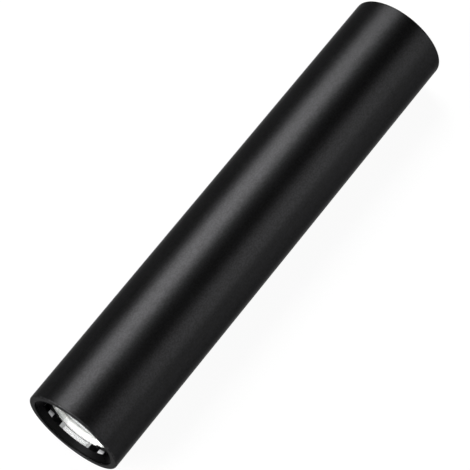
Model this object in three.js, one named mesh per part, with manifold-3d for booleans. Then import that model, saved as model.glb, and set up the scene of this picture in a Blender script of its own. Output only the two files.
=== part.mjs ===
// A straight black tube flashlight with an ultraviolet LED, lying on its side.
// The beam points along +X, the tail along -X, and the barrel rests on z = 0 below the origin.
// Every round piece is drawn as a profile of (radius, depth), where depth is counted along the
// axis from the front rim to the tail. Sizes are in millimetres.

import * as THREE from "three";
import { mergeVertices } from "three/addons/utils/BufferGeometryUtils.js";
import Module from "manifold-3d";

// Fits between pieces
const SEAT_GAP = 0.05; // between faces that press on each other
const SLIP_FIT = 0.15; // radial, between pieces pushed into one another
const RUNNING_FIT = 0.2; // radial, between pieces that travel in one another
const THREAD_FIT = 0.15; // radial, between the cap's thread and its bore
const SEAM_GAP = 0.05; // between the tube and the tail cap, screwed home

// Facets around wide and narrow round pieces, and steps along rounds
const WIDE_FACETS = 32;
const SMALL_FACETS = 24;
const SECTION_FACETS = 8;
const BOWL_STEPS = 8;
const BOWL_CROWDING = 1.5; // steps crowd towards the steep end of the bowl
const ROUND_STEPS = 2;
const ROUND_SHARE = 1 / 3; // most of a wall that the round on its edge may take
const QUARTER_HANDLE = (4 / 3) * (Math.SQRT2 - 1); // Bezier handle of a quarter circle

// Cell, a lithium cell with a button top
const CELL_DIAMETER = 18.4;
const CELL_LENGTH = 65.9;
const CELL_EDGE = 0.6;
const CELL_BUTTON_DIAMETER = 6;
const CELL_BUTTON_HEIGHT = 1.4;
const CELL_BUTTON_EDGE = 0.3;
const CELL_WASHER_THICKNESS = 0.4;
const CELL_WASHER_INSET = 1.2;
const CELL_CLEARANCE = 0.3; // radial, in the battery bore

// Body tube
const BORE_STEP = 1.4; // radial, from the battery bore out to the head bore
const HEAD_WALL = 1.6;
const RIM_ROUND = 0.4;
const MOUTH_CHAMFER = 0.12;
const TAIL_WALL = 1.35; // over the thread
const THREAD_RELIEF = 1.2; // bore past the end of the cap's spigot

// Crown ring that holds the lens
const RIM_RECESS = 0.5;
const CROWN_BAND = 1.25;
const CROWN_WINDOWS = 3; // open gaps, each between two legs
const CROWN_WINDOW_HALF = THREE.MathUtils.degToRad(35.5); // from a window's middle to either leg
const CROWN_LEG_LENGTH = 1.35;
const CROWN_LEG_WALL = 0.9;
const CROWN_LEG_FACE = 2.95; // width of a leg's inner face
const CROWN_LEG_BEVEL = 1.58; // each side, along the ring
const CROWN_SCREEN_WALL = 0.3; // closes the gap from one window's leg to the next window's
const CROWN_SCREEN_STEPS = 5;
const CROWN_TAB_REACH = 1.8; // of the tab inside a screen, in over the lens
const CROWN_TAB_WALL = 0.25;
const CROWN_PHASE = THREE.MathUtils.degToRad(71.5); // first window, from straight up towards +Y

// Lens, seal and reflector
const LENS_THICKNESS = 1.8;
const LENS_EDGE = 0.2;
const LENS_FIT = 0.1; // radial, in the reflector's collar
const SEAL_SECTION = 1.2;
const COLLAR_WALL = 0.35;
const BOWL_LIP = 0.2;
const BOWL_FOCUS = 1.4;
const BOWL_HOLE_DIAMETER = 6.8;
const REFLECTOR_WALL = 1.0;
const REFLECTOR_FLANGE = 1.5;

// LED and its board
const LED_WIDTH = 3.45;
const LED_HEIGHT = 0.9;
const DIE_WIDTH = 1.4;
const DIE_HEIGHT = 0.15;
const DIE_CLEARANCE = 0.1;
const DOME_DIAMETER = 2.9;
const DOME_STEPS = 4;
const GASKET_THICKNESS = 0.6;
const GASKET_CLEARANCE = 0.2;
const LED_BOARD_DIAMETER = 16;
const LED_BOARD_THICKNESS = 1.6;

// Pill, driver and leads
const PILL_SHELF = 4.0;
const PILL_WALL = 2.75;
const PILL_CAVITY = 6.3;
const DRIVER_LEDGE = 0.9;
const DRIVER_THICKNESS = 1.6;
const DRIVER_RING_HEIGHT = 1.6;
const DRIVER_RING_WIDTH = 1.4;
const CONTACT_DIAMETER = 6;
const CONTACT_STAND = 0.5; // past the pill's end
const COIL_DIAMETER = 4.8;
const COIL_HEIGHT = 3.2;
const CHIP_LENGTH = 5;
const CHIP_WIDTH = 4;
const CHIP_HEIGHT = 1.5;
const DRIVER_PART_OFFSET = 3.2; // of the coil and of the chip, from the axis
const LEAD_DIAMETER = 1.1;
const LEAD_BEND = 1.4;
const LEAD_INSET = 1.0; // from the pill's cavity wall in to the lead's centre
const LEAD_TIP = 0.5; // straight end on its pad
const LEAD_CLEARANCE = 0.35; // around a lead where it passes through
const BEND_CLEARANCE = 0.7; // inside a lead's bend, at the LED board's edge
const LEAD_STEPS = 20;

// Tail cap
const SPIGOT_LEAD = 1.0; // from the cell's end to the spigot
const SPIGOT_LENGTH = 9.5;
const SPIGOT_WALL = 2.0;
const SPIGOT_CHAMFER = 0.4;
const THREAD_PITCH = 1.5;
const THREAD_DEPTH = 0.6;
const THREAD_CREST = 0.4;
const THREAD_ROOT = 0.9;
const THREAD_END = 0.5; // plain stretch at each end of the thread
const THREAD_SINK = 0.3; // of the ridge into the spigot it grows from
const THREAD_STEPS = 24; // per turn
const GROOVE_DEPTH = 1.0;
const GROOVE_SETBACK = 0.9; // from the shoulder
const O_RING_WIDTH = 1.3;
const O_RING_FIT = 0.1;
const END_LIP = 1.6; // end wall outside the button's flange
const TAIL_RECESS = 2.2;
const TAIL_RIM = 2.9;
const RECESS_CHAMFER = 0.3;

// Tail contact spring
const TAIL_SPRING_LENGTH = 10;
const TAIL_SPRING_WIRE = 0.9;
const TAIL_SPRING_BASE = 10; // diameter of its centreline on the switch board
const TAIL_SPRING_TIP = 7; // and at the cell
const TAIL_SPRING_TURNS = 5;
const SPRING_STEPS = 10; // per turn
const NEXT_TURN = 0.7; // of a turn, past which a point of the wire belongs to the next turn
const WIRE_FACETS = 6;

// Switch, boot and button
const BUTTON_TRAVEL = 1.8;
const SWITCH_BOARD_THICKNESS = 1.2;
const SWITCH_RING_HEIGHT = 1.8;
const SWITCH_RING_WIDTH = 1.5;
const SPACER_WALL = 1.0;
const SWITCH_LENGTH = 9;
const SWITCH_WIDTH = 6.6;
const SWITCH_HEIGHT = 7.2;
const SWITCH_FLOOR = 1.0;
const PLUNGER_DIAMETER = 4.4;
const PLUNGER_SEAT = 1.8; // length inside the housing at rest
const PLUNGER_MARGIN = 0.9; // left standing when pressed
const PLUNGER_EDGE = 0.3;
const SWITCH_SPRING_WIRE = 0.45;
const SWITCH_SPRING_TURNS = 3.5;
const BOOT_THICKNESS = 1.0;
const BOOT_NUB = 1.0;
const BOOT_NUB_DIAMETER = 4;
const BOOT_LAND = 1.3; // clamped ring of the boot
const FLANGE_HEIGHT = 0.9;
const FLANGE_WIDTH = 1.0;
const BUTTON_STAND = 1.5; // above the recess floor
const BUTTON_EDGE = 0.5;

// Spanner slots in the retaining rings
const SPANNER_SLOT_WIDTH = 1.6;
const SPANNER_SLOT_DEPTH = 0.9;

// Radii, from the cell outwards
const cellR = CELL_DIAMETER / 2;
const boreR = cellR + CELL_CLEARANCE;
const headBoreR = boreR + BORE_STEP;
const bodyR = headBoreR + HEAD_WALL;
const headFitR = headBoreR - SLIP_FIT;
const collarInR = headFitR - COLLAR_WALL;
const lensR = collarInR - LENS_FIT;
const crownInR = lensR - CROWN_LEG_WALL;
const sealR = lensR - SEAL_SECTION / 2;
const bowlR = lensR - SEAL_SECTION - BOWL_LIP;
const bowlHoleR = BOWL_HOLE_DIAMETER / 2;
const neckR = bowlHoleR + REFLECTOR_WALL;
const cavityR = headFitR - PILL_WALL;
const driverSeatR = cavityR + DRIVER_LEDGE;
const driverR = driverSeatR - SLIP_FIT;
const leadR = cavityR - LEAD_INSET;
const threadBoreR = bodyR - TAIL_WALL;
const spigotR = threadBoreR - THREAD_FIT;
const threadCoreR = spigotR - THREAD_DEPTH;
const grooveR = spigotR - GROOVE_DEPTH;
const tailBoreR = spigotR - SPIGOT_WALL;
const switchFitR = tailBoreR - SLIP_FIT;
const counterR = tailBoreR - BOOT_LAND;
const flangeR = counterR - RUNNING_FIT;
const buttonR = flangeR - FLANGE_WIDTH;
const buttonBoreR = buttonR + RUNNING_FIT;
const recessR = bodyR - TAIL_RIM;

// Depths along the axis, from the front rim back to the tail
const bowlDepth = (radius) => (radius * radius) / (4 * BOWL_FOCUS);
const crownAt = RIM_RECESS;
const bandEnd = crownAt + CROWN_BAND;
const collarAt = bandEnd + SEAT_GAP;
const legEnd = bandEnd + CROWN_LEG_LENGTH;
const lensAt = legEnd + SEAT_GAP;
const lensEnd = lensAt + LENS_THICKNESS;
const sealMid = lensEnd + SEAT_GAP + SEAL_SECTION / 2;
const ledgeAt = sealMid + SEAL_SECTION / 2 + SEAT_GAP;
const bowlHoleAt = ledgeAt + bowlDepth(bowlR) - bowlDepth(bowlHoleR);
const focusAt = bowlHoleAt + bowlDepth(bowlHoleR) - BOWL_FOCUS;
const ledBoardAt = focusAt + LED_HEIGHT + SEAT_GAP;
const gasketAt = ledBoardAt - SEAT_GAP - GASKET_THICKNESS;
const reflectorEnd = gasketAt - SEAT_GAP;
const ledBoardEnd = ledBoardAt + LED_BOARD_THICKNESS;
const pillAt = ledBoardEnd + SEAT_GAP;
const cavityAt = pillAt + PILL_SHELF;
const driverSeatAt = cavityAt + PILL_CAVITY;
const driverAt = driverSeatAt + SEAT_GAP;
const driverEnd = driverAt + DRIVER_THICKNESS;
const driverRingAt = driverEnd + SEAT_GAP;
const pillEnd = driverRingAt + DRIVER_RING_HEIGHT;
const boreAt = pillEnd + SEAT_GAP;
const contactEnd = pillEnd + CONTACT_STAND;
const cellAt = contactEnd + SEAT_GAP;
const canAt = cellAt + CELL_BUTTON_HEIGHT;
const cellEnd = cellAt + CELL_LENGTH;
const spigotAt = cellEnd + SPIGOT_LEAD;
const shoulderAt = spigotAt + SPIGOT_LENGTH;
const tubeEnd = shoulderAt - SEAM_GAP;
const threadBoreAt = spigotAt - THREAD_RELIEF;
const grooveEnd = shoulderAt - GROOVE_SETBACK;
const grooveAt = grooveEnd - O_RING_WIDTH - 2 * O_RING_FIT;
const switchBoardAt = cellEnd + SEAT_GAP + TAIL_SPRING_LENGTH + SEAT_GAP;
const switchBoardEnd = switchBoardAt + SWITCH_BOARD_THICKNESS;
const housingAt = switchBoardEnd + SEAT_GAP;
const housingEnd = housingAt + SWITCH_HEIGHT;
const plungerEnd = housingEnd + BUTTON_TRAVEL + PLUNGER_MARGIN;
const nubAt = plungerEnd + SEAT_GAP;
const bootAt = nubAt + BOOT_NUB;
const bootEnd = bootAt + BOOT_THICKNESS;
const endWallAt = bootEnd + SEAT_GAP;
const flangeAt = endWallAt + SEAT_GAP;
const flangeEnd = flangeAt + FLANGE_HEIGHT;
const counterEnd = flangeEnd + SEAT_GAP;
const recessFloor = counterEnd + END_LIP;
const tailEnd = recessFloor + TAIL_RECESS;

const wasm = await Module();
wasm.setup();

// A point of a profile: radius from the axis and depth from the front rim.
const at = (radius, depth) => new THREE.Vector2(radius, depth);

// Points of a quarter round between two points, about its centre.
function quarterRound(centre, radius, fromAngle, toAngle) {
  const points = [];
  for (let i = 0; i <= ROUND_STEPS; i += 1) {
    const angle = fromAngle + ((toAngle - fromAngle) * i) / ROUND_STEPS;
    points.push(at(centre.x + radius * Math.cos(angle), centre.y + radius * Math.sin(angle)));
  }
  return points;
}

// Turns a profile into a solid whose flats lie at the profile's radii, one flat facing down.
// The profile starts and ends on the axis, or is closed here.
function revolve(profile, facets) {
  const onAxis = profile[0].x === 0 && profile[profile.length - 1].x === 0;
  const ordered = THREE.ShapeUtils.isClockWise(profile) ? [...profile].reverse() : [...profile];
  if (!onAxis) {
    ordered.push(ordered[0].clone());
  }
  const toCorner = 1 / Math.cos(Math.PI / facets);
  const corners = ordered.map((point) => at(point.x * toCorner, point.y));
  return new THREE.LatheGeometry(corners, facets, Math.PI / facets);
}

// A ring of rectangular section.
function ring(innerR, outerR, start, end, facets) {
  return revolve([at(innerR, start), at(outerR, start), at(outerR, end), at(innerR, end)], facets);
}

// A disc with both edges chamfered.
function disc(radius, start, end, edge, facets) {
  const profile = [
    at(0, start),
    at(radius - edge, start),
    at(radius, start + edge),
    at(radius, end - edge),
    at(radius - edge, end),
    at(0, end),
  ];
  return revolve(profile, facets);
}

// A ring of round or oval section.
function roundRing(middleR, middleAt, halfHeight, halfWidth) {
  const profile = [];
  for (let i = 0; i < SECTION_FACETS; i += 1) {
    const angle = (2 * Math.PI * (i + 0.5)) / SECTION_FACETS;
    profile.push(at(middleR + halfHeight * Math.cos(angle), middleAt + halfWidth * Math.sin(angle)));
  }
  return revolve(profile, WIDE_FACETS);
}

// A box about the axis between two depths, from its half sizes across (x) and up (z).
function block(halfX, halfZ, start, end) {
  const geometry = new THREE.BoxGeometry(2 * halfX, end - start, 2 * halfZ);
  return geometry.translate(0, (start + end) / 2, 0);
}

// A flat outline, drawn across the axis, extruded from one depth to another.
function plate(shape, start, end, curveSegments) {
  const options = { depth: end - start, bevelEnabled: false, curveSegments };
  const geometry = new THREE.ExtrudeGeometry(shape, options);
  return geometry.rotateX(-Math.PI / 2).translate(0, start, 0);
}

// A solid for joining and cutting, from a closed geometry.
function toSolid(geometry) {
  const bare = geometry.clone();
  bare.deleteAttribute("normal");
  bare.deleteAttribute("uv");
  const merged = mergeVertices(bare);
  const triangles = [];
  for (let i = 0; i < merged.index.count; i += 3) {
    const [a, b, c] = [0, 1, 2].map((k) => merged.index.getX(i + k));
    if (a !== b && b !== c && c !== a) {
      triangles.push(a, b, c);
    }
  }
  const mesh = new wasm.Mesh({
    numProp: 3,
    vertProperties: Float32Array.from(merged.attributes.position.array),
    triVerts: Uint32Array.from(triangles),
  });
  return new wasm.Manifold(mesh);
}

// The geometry of a joined or cut solid.
function toGeometry(solid) {
  const mesh = solid.getMesh();
  const geometry = new THREE.BufferGeometry();
  geometry.setAttribute("position", new THREE.BufferAttribute(mesh.vertProperties, mesh.numProp));
  geometry.setIndex(new THREE.BufferAttribute(mesh.triVerts, 1));
  geometry.computeVertexNormals();
  return geometry;
}

function join(base, ...others) {
  return toGeometry(others.reduce((solid, other) => solid.add(toSolid(other)), toSolid(base)));
}

function cut(base, ...others) {
  return toGeometry(others.reduce((solid, other) => solid.subtract(toSolid(other)), toSolid(base)));
}

// A screw line about the axis, which may widen or narrow as it goes.
class ScrewLine extends THREE.Curve {
  constructor(startR, endR, start, end, turns) {
    super();
    Object.assign(this, { startR, endR, start, end, turns });
  }

  getPoint(t, target = new THREE.Vector3()) {
    const angle = 2 * Math.PI * this.turns * t;
    const radius = THREE.MathUtils.lerp(this.startR, this.endR, t);
    const depth = THREE.MathUtils.lerp(this.start, this.end, t);
    return target.set(radius * Math.sin(angle), depth, radius * Math.cos(angle));
  }
}

// A regular outline for wires and leads.
function wireSection(diameter) {
  const shape = new THREE.Shape();
  for (let i = 0; i < WIRE_FACETS; i += 1) {
    const angle = (2 * Math.PI * i) / WIRE_FACETS;
    const point = at((diameter / 2) * Math.cos(angle), (diameter / 2) * Math.sin(angle));
    if (i === 0) {
      shape.moveTo(point.x, point.y);
    } else {
      shape.lineTo(point.x, point.y);
    }
  }
  return shape;
}

// The least clear space between the turns of a wound wire, measured on points of its centreline.
function leastGap(line, wire) {
  const points = line.getPoints(line.turns * SPRING_STEPS);
  const apart = Math.ceil(SPRING_STEPS * NEXT_TURN);
  let least = Infinity;
  for (let i = 0; i < points.length; i += 1) {
    for (let k = i + apart; k < points.length; k += 1) {
      least = Math.min(least, points[i].distanceTo(points[k]) - wire);
    }
  }
  return least;
}

// A coil spring between two depths, one unbroken wire.
function coilSpring(name, startR, endR, start, end, turns, wire) {
  const line = new ScrewLine(startR, endR, start + wire / 2, end - wire / 2, turns);
  console.log(`${name}: least gap between turns ${leastGap(line, wire).toFixed(2)} mm`);
  const options = { steps: Math.round(turns * SPRING_STEPS), extrudePath: line, bevelEnabled: false };
  return new THREE.ExtrudeGeometry(wireSection(wire), options);
}

// Body tube: head bore in front, battery bore, thread bore at the tail
function bodyTube() {
  const rimRound = Math.min(RIM_ROUND, HEAD_WALL * ROUND_SHARE);
  const profile = [
    at(headBoreR, boreAt),
    at(headBoreR, MOUTH_CHAMFER),
    at(headBoreR + MOUTH_CHAMFER, 0),
    ...quarterRound(at(bodyR - rimRound, rimRound), rimRound, -Math.PI / 2, 0),
    at(bodyR, tubeEnd),
    at(threadBoreR, tubeEnd),
    at(threadBoreR, threadBoreAt),
    at(boreR, threadBoreAt),
    at(boreR, boreAt),
  ];
  return revolve(profile, WIDE_FACETS);
}

// Crown ring: a band inside the mouth, legs that reach back to the lens, and screens with tabs between some
function crownRing() {
  const pieces = [ring(crownInR, headFitR, crownAt, bandEnd, WIDE_FACETS)];
  const faceAngle = CROWN_LEG_FACE / 2 / crownInR;
  const footAngle = (CROWN_LEG_FACE / 2 + CROWN_LEG_BEVEL) / lensR;
  const legStart = (crownAt + bandEnd) / 2;
  const pitch = (2 * Math.PI) / CROWN_WINDOWS;
  const sector = (outR, inR, from, to, inset) => {
    const shape = new THREE.Shape();
    shape.absarc(0, 0, outR, from, to, false);
    shape.absarc(0, 0, inR, to - inset, from + inset, true);
    shape.closePath();
    return shape;
  };
  for (let i = 0; i < CROWN_WINDOWS; i += 1) {
    const middle = CROWN_PHASE + pitch * i - Math.PI / 2;
    for (const leg of [middle - CROWN_WINDOW_HALF, middle + CROWN_WINDOW_HALF]) {
      const shape = sector(lensR, crownInR, leg - footAngle, leg + footAngle, footAngle - faceAngle);
      pieces.push(plate(shape, legStart, legEnd, ROUND_STEPS));
    }
    const from = middle + CROWN_WINDOW_HALF;
    const to = middle + pitch - CROWN_WINDOW_HALF;
    const screen = sector(lensR, lensR - CROWN_SCREEN_WALL, from, to, 0);
    pieces.push(plate(screen, legStart, legEnd, CROWN_SCREEN_STEPS));
    const tabOutR = lensR - CROWN_SCREEN_WALL / 2;
    const tab = sector(tabOutR, lensR - CROWN_TAB_REACH, from + faceAngle / 2, to - faceAngle / 2, 0);
    pieces.push(plate(tab, legEnd - CROWN_TAB_WALL, legEnd, CROWN_SCREEN_STEPS));
  }
  return join(...pieces);
}

// Reflector: a collar around the lens, a ledge for the seal, a parabolic bowl and a neck
function reflector() {
  const wallAt = (depth) => Math.sqrt(4 * BOWL_FOCUS * (bowlDepth(bowlHoleR) + bowlHoleAt - depth));
  const flangeBack = ledgeAt + REFLECTOR_FLANGE;
  const inside = [];
  const outside = [];
  for (let i = 0; i <= BOWL_STEPS; i += 1) {
    const outward = (i / BOWL_STEPS) ** BOWL_CROWDING;
    const depth = THREE.MathUtils.lerp(bowlHoleAt, ledgeAt, outward);
    inside.push(at(wallAt(depth), depth));
    const inward = 1 - (1 - i / BOWL_STEPS) ** BOWL_CROWDING;
    const back = THREE.MathUtils.lerp(flangeBack, bowlHoleAt, inward);
    outside.push(at(wallAt(back) + REFLECTOR_WALL, back));
  }
  const profile = [
    at(bowlHoleR, reflectorEnd),
    ...inside,
    at(collarInR, ledgeAt),
    at(collarInR, collarAt),
    at(headFitR, collarAt),
    at(headFitR, flangeBack),
    ...outside,
    at(neckR, reflectorEnd),
  ];
  return revolve(profile, WIDE_FACETS);
}

// LED: ceramic base, die and clear dome over it
function ledDome() {
  const foot = focusAt - SEAT_GAP;
  const radius = DOME_DIAMETER / 2;
  const profile = [at(0, foot)];
  for (let i = 0; i <= DOME_STEPS; i += 1) {
    const angle = (Math.PI / 2) * (i / DOME_STEPS);
    const across = i === DOME_STEPS ? 0 : radius * Math.cos(angle);
    profile.push(at(across, foot - radius * Math.sin(angle)));
  }
  const pocket = DIE_WIDTH / 2 + DIE_CLEARANCE;
  const pocketAt = focusAt - SEAT_GAP - DIE_HEIGHT - DIE_CLEARANCE;
  return cut(revolve(profile, SMALL_FACETS), block(pocket, pocket, pocketAt, focusAt));
}

// Slots that let the leads past the LED board's edge, or holes through the pill's shelf
function leadPassages(innerR, outerR, start, end) {
  const half = LEAD_DIAMETER / 2 + LEAD_CLEARANCE;
  return [1, -1].map((side) => {
    const passage = new THREE.BoxGeometry(2 * half, end - start, outerR - innerR);
    return passage.translate(0, (start + end) / 2, (side * (outerR + innerR)) / 2);
  });
}

function ledBoard() {
  const board = ring(0, LED_BOARD_DIAMETER / 2, ledBoardAt, ledBoardEnd, WIDE_FACETS);
  const slotIn = leadR - LEAD_DIAMETER / 2 - BEND_CLEARANCE;
  const slotOut = Math.max(leadR, LED_BOARD_DIAMETER / 2) + LEAD_DIAMETER;
  const over = LED_BOARD_THICKNESS;
  return cut(board, ...leadPassages(slotIn, slotOut, ledBoardAt - over, ledBoardEnd + over));
}

// Pill: shelf under the LED board, cavity for the driver and a seat for its board
function pill() {
  const profile = [
    at(0, pillAt),
    at(headFitR, pillAt),
    at(headFitR, pillEnd),
    at(driverSeatR, pillEnd),
    at(driverSeatR, driverSeatAt),
    at(cavityR, driverSeatAt),
    at(cavityR, cavityAt),
    at(0, cavityAt),
  ];
  const half = LEAD_DIAMETER / 2 + LEAD_CLEARANCE;
  const passages = leadPassages(leadR - half, leadR + half, pillAt - half, cavityAt + half);
  return cut(revolve(profile, WIDE_FACETS), ...passages);
}

// A threaded retaining ring with two spanner slots in one face
function retainingRing(outerR, width, start, end, slotFace) {
  const slotHalf = SPANNER_SLOT_WIDTH / 2;
  const slotEnd = slotFace === start ? start + SPANNER_SLOT_DEPTH : end - SPANNER_SLOT_DEPTH;
  const [from, to] = slotFace === start ? [start - slotHalf, slotEnd] : [slotEnd, end + slotHalf];
  const slot = block(slotHalf, outerR + width, from, to);
  return cut(ring(outerR - width, outerR, start, end, WIDE_FACETS), slot);
}

// LED lead: along the axis through the pill's shelf, then bent in to its pad
function ledLead(side) {
  const layer = ledBoardAt - LEAD_DIAMETER / 2 - SEAT_GAP;
  const bendAt = layer + LEAD_BEND;
  const corner = leadR - LEAD_BEND;
  const place = (radius, depth) => new THREE.Vector3(0, depth, side * radius);
  const path = new THREE.CurvePath();
  path.add(new THREE.LineCurve3(place(leadR, driverAt - SEAT_GAP), place(leadR, bendAt)));
  const handle = QUARTER_HANDLE * LEAD_BEND;
  path.add(
    new THREE.CubicBezierCurve3(
      place(leadR, bendAt),
      place(leadR, bendAt - handle),
      place(corner + handle, layer),
      place(corner, layer),
    ),
  );
  path.add(new THREE.LineCurve3(place(corner, layer), place(corner - LEAD_TIP, layer)));
  const options = { steps: LEAD_STEPS, extrudePath: path, bevelEnabled: false };
  return new THREE.ExtrudeGeometry(wireSection(LEAD_DIAMETER), options);
}

// Thread ridge around the spigot, a screw line of trapezoid section
function threadRidge() {
  const start = spigotAt + THREAD_END + THREAD_ROOT / 2;
  const end = grooveAt - THREAD_END - THREAD_ROOT / 2;
  const turns = (end - start) / THREAD_PITCH;
  const rings = Math.max(2, Math.round(turns * THREAD_STEPS));
  const rootHalf = THREAD_ROOT / 2;
  const crestHalf = THREAD_CREST / 2;
  const section = [
    [threadCoreR - THREAD_SINK, -rootHalf],
    [spigotR, -crestHalf],
    [spigotR, crestHalf],
    [threadCoreR - THREAD_SINK, rootHalf],
  ];
  const positions = [];
  const index = [];
  for (let i = 0; i <= rings; i += 1) {
    const angle = (2 * Math.PI * turns * i) / rings;
    const depth = THREE.MathUtils.lerp(start, end, i / rings);
    for (const [radius, offset] of section) {
      positions.push(radius * Math.sin(angle), depth + offset, radius * Math.cos(angle));
    }
  }
  const count = section.length;
  for (let i = 0; i < rings; i += 1) {
    for (let k = 0; k < count; k += 1) {
      const here = i * count + k;
      const beside = i * count + ((k + 1) % count);
      index.push(here, here + count, beside, beside, here + count, beside + count);
    }
  }
  const last = rings * count;
  index.push(0, 1, 2, 0, 2, 3, last, last + 2, last + 1, last, last + 3, last + 2);
  const geometry = new THREE.BufferGeometry();
  geometry.setAttribute("position", new THREE.Float32BufferAttribute(positions, 3));
  geometry.setIndex(index);
  return geometry;
}

// Tail cap: threaded spigot with the O-ring's groove, switch bore and a recessed end
function tailCap() {
  const rimRound = Math.min(RIM_ROUND, TAIL_RIM * ROUND_SHARE);
  const profile = [
    at(tailBoreR, spigotAt),
    at(tailBoreR, endWallAt),
    at(counterR, endWallAt),
    at(counterR, counterEnd),
    at(buttonBoreR, counterEnd),
    at(buttonBoreR, recessFloor),
    at(recessR, recessFloor),
    at(recessR, tailEnd - RECESS_CHAMFER),
    at(recessR + RECESS_CHAMFER, tailEnd),
    ...quarterRound(at(bodyR - rimRound, tailEnd - rimRound), rimRound, Math.PI / 2, 0),
    at(bodyR, shoulderAt),
    at(spigotR, shoulderAt),
    at(spigotR, grooveEnd),
    at(grooveR, grooveEnd),
    at(grooveR, grooveAt),
    at(threadCoreR, grooveAt),
    at(threadCoreR, spigotAt + SPIGOT_CHAMFER),
    at(threadCoreR - SPIGOT_CHAMFER, spigotAt),
  ];
  return join(revolve(profile, WIDE_FACETS), threadRidge());
}

// O-ring between the groove and the thread bore, slightly oval as it is squeezed
function tailORing() {
  const innerR = grooveR + O_RING_FIT;
  const outerR = threadBoreR - O_RING_FIT;
  const halfHeight = (outerR - innerR) / 2 / Math.cos(Math.PI / SECTION_FACETS);
  const halfWidth = O_RING_WIDTH / 2;
  return roundRing((innerR + outerR) / 2, (grooveAt + grooveEnd) / 2, halfHeight, halfWidth);
}

// Click switch: a housing with a bore for the plunger and its return spring
function switchHousing() {
  const box = block(SWITCH_LENGTH / 2, SWITCH_WIDTH / 2, housingAt, housingEnd);
  const boreRadius = PLUNGER_DIAMETER / 2 + RUNNING_FIT;
  const floorAt = housingAt + SWITCH_FLOOR;
  const opening = ring(0, boreRadius, floorAt, housingEnd + SWITCH_FLOOR, SMALL_FACETS);
  return cut(box, opening);
}

function switchBoot() {
  const profile = [
    at(0, nubAt),
    at(BOOT_NUB_DIAMETER / 2, nubAt),
    at(BOOT_NUB_DIAMETER / 2, bootAt),
    at(switchFitR, bootAt),
    at(switchFitR, bootEnd),
    at(0, bootEnd),
  ];
  return revolve(profile, WIDE_FACETS);
}

function tailButton() {
  const top = recessFloor + BUTTON_STAND;
  const profile = [
    at(0, flangeAt),
    at(flangeR, flangeAt),
    at(flangeR, flangeEnd),
    at(buttonR, flangeEnd),
    at(buttonR, top - BUTTON_EDGE),
    at(buttonR - BUTTON_EDGE, top),
    at(0, top),
  ];
  return revolve(profile, WIDE_FACETS);
}

function batteryCan() {
  return disc(cellR, canAt, cellEnd, CELL_EDGE, WIDE_FACETS);
}

function batteryWasher() {
  const end = canAt - SEAT_GAP;
  const innerR = CELL_BUTTON_DIAMETER / 2 + SLIP_FIT;
  return ring(innerR, cellR - CELL_WASHER_INSET, end - CELL_WASHER_THICKNESS, end, SMALL_FACETS);
}

function batteryCap() {
  return disc(CELL_BUTTON_DIAMETER / 2, cellAt, canAt - SEAT_GAP, CELL_BUTTON_EDGE, SMALL_FACETS);
}

// Finishes, one material for each piece that takes them
const finish = (color, roughness, metalness) => ({ color, roughness, metalness });
const BLACK_ANODISED = finish(0x17181a, 0.42, 0.6);
const BRIGHT = finish(0xe8e9ea, 0.12, 1);
const BRASS = finish(0xc9a352, 0.35, 1);
const STEEL = finish(0xb9bcc0, 0.3, 1);
const GLASS = finish(0xdfe8ee, 0.05, 0);
const WHITE_RUBBER = finish(0xeceae4, 0.6, 0);
const BLACK_RUBBER = finish(0x18181a, 0.8, 0);
const WHITE_PLASTIC = finish(0xe9e8e2, 0.5, 0);
const BLACK_PLASTIC = finish(0x1c1c1e, 0.5, 0);
const GREEN_BOARD = finish(0x1f5b39, 0.45, 0);
const WHITE_BOARD = finish(0xe6e6e2, 0.4, 0.1);
const CERAMIC = finish(0xd8d6cf, 0.5, 0);
const DIE = finish(0x8e8a60, 0.3, 0);
const FERRITE = finish(0x3a3a3c, 0.6, 0);
const RED_LEAD = finish(0xa81e1e, 0.5, 0);
const CELL_WRAP = finish(0x2f5f8f, 0.35, 0);

const assembly = new THREE.Group();
assembly.rotation.z = Math.PI / 2;
assembly.position.set(tailEnd / 2, 0, bodyR);

function addPiece(name, geometry, material) {
  const piece = new THREE.Mesh(geometry, new THREE.MeshStandardMaterial(material));
  piece.name = name;
  assembly.add(piece);
}

// Body and head
addPiece("body_tube", bodyTube(), BLACK_ANODISED);
addPiece("crown_ring", crownRing(), BLACK_ANODISED);
addPiece("lens", disc(lensR, lensAt, lensEnd, LENS_EDGE, WIDE_FACETS), GLASS);
addPiece("lens_seal", roundRing(sealR, sealMid, SEAL_SECTION / 2, SEAL_SECTION / 2), WHITE_RUBBER);
addPiece("reflector", reflector(), BRIGHT);

// LED and its board
const gasketIn = (LED_WIDTH / 2) * Math.SQRT2 + GASKET_CLEARANCE;
const gasket = ring(gasketIn, neckR, gasketAt, gasketAt + GASKET_THICKNESS, SMALL_FACETS);
addPiece("led_gasket", gasket, WHITE_PLASTIC);
addPiece("led_base", block(LED_WIDTH / 2, LED_WIDTH / 2, focusAt, focusAt + LED_HEIGHT), CERAMIC);
const dieEnd = focusAt - SEAT_GAP;
addPiece("led_die", block(DIE_WIDTH / 2, DIE_WIDTH / 2, dieEnd - DIE_HEIGHT, dieEnd), DIE);
addPiece("led_dome", ledDome(), GLASS);
addPiece("led_board", ledBoard(), WHITE_BOARD);

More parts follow.
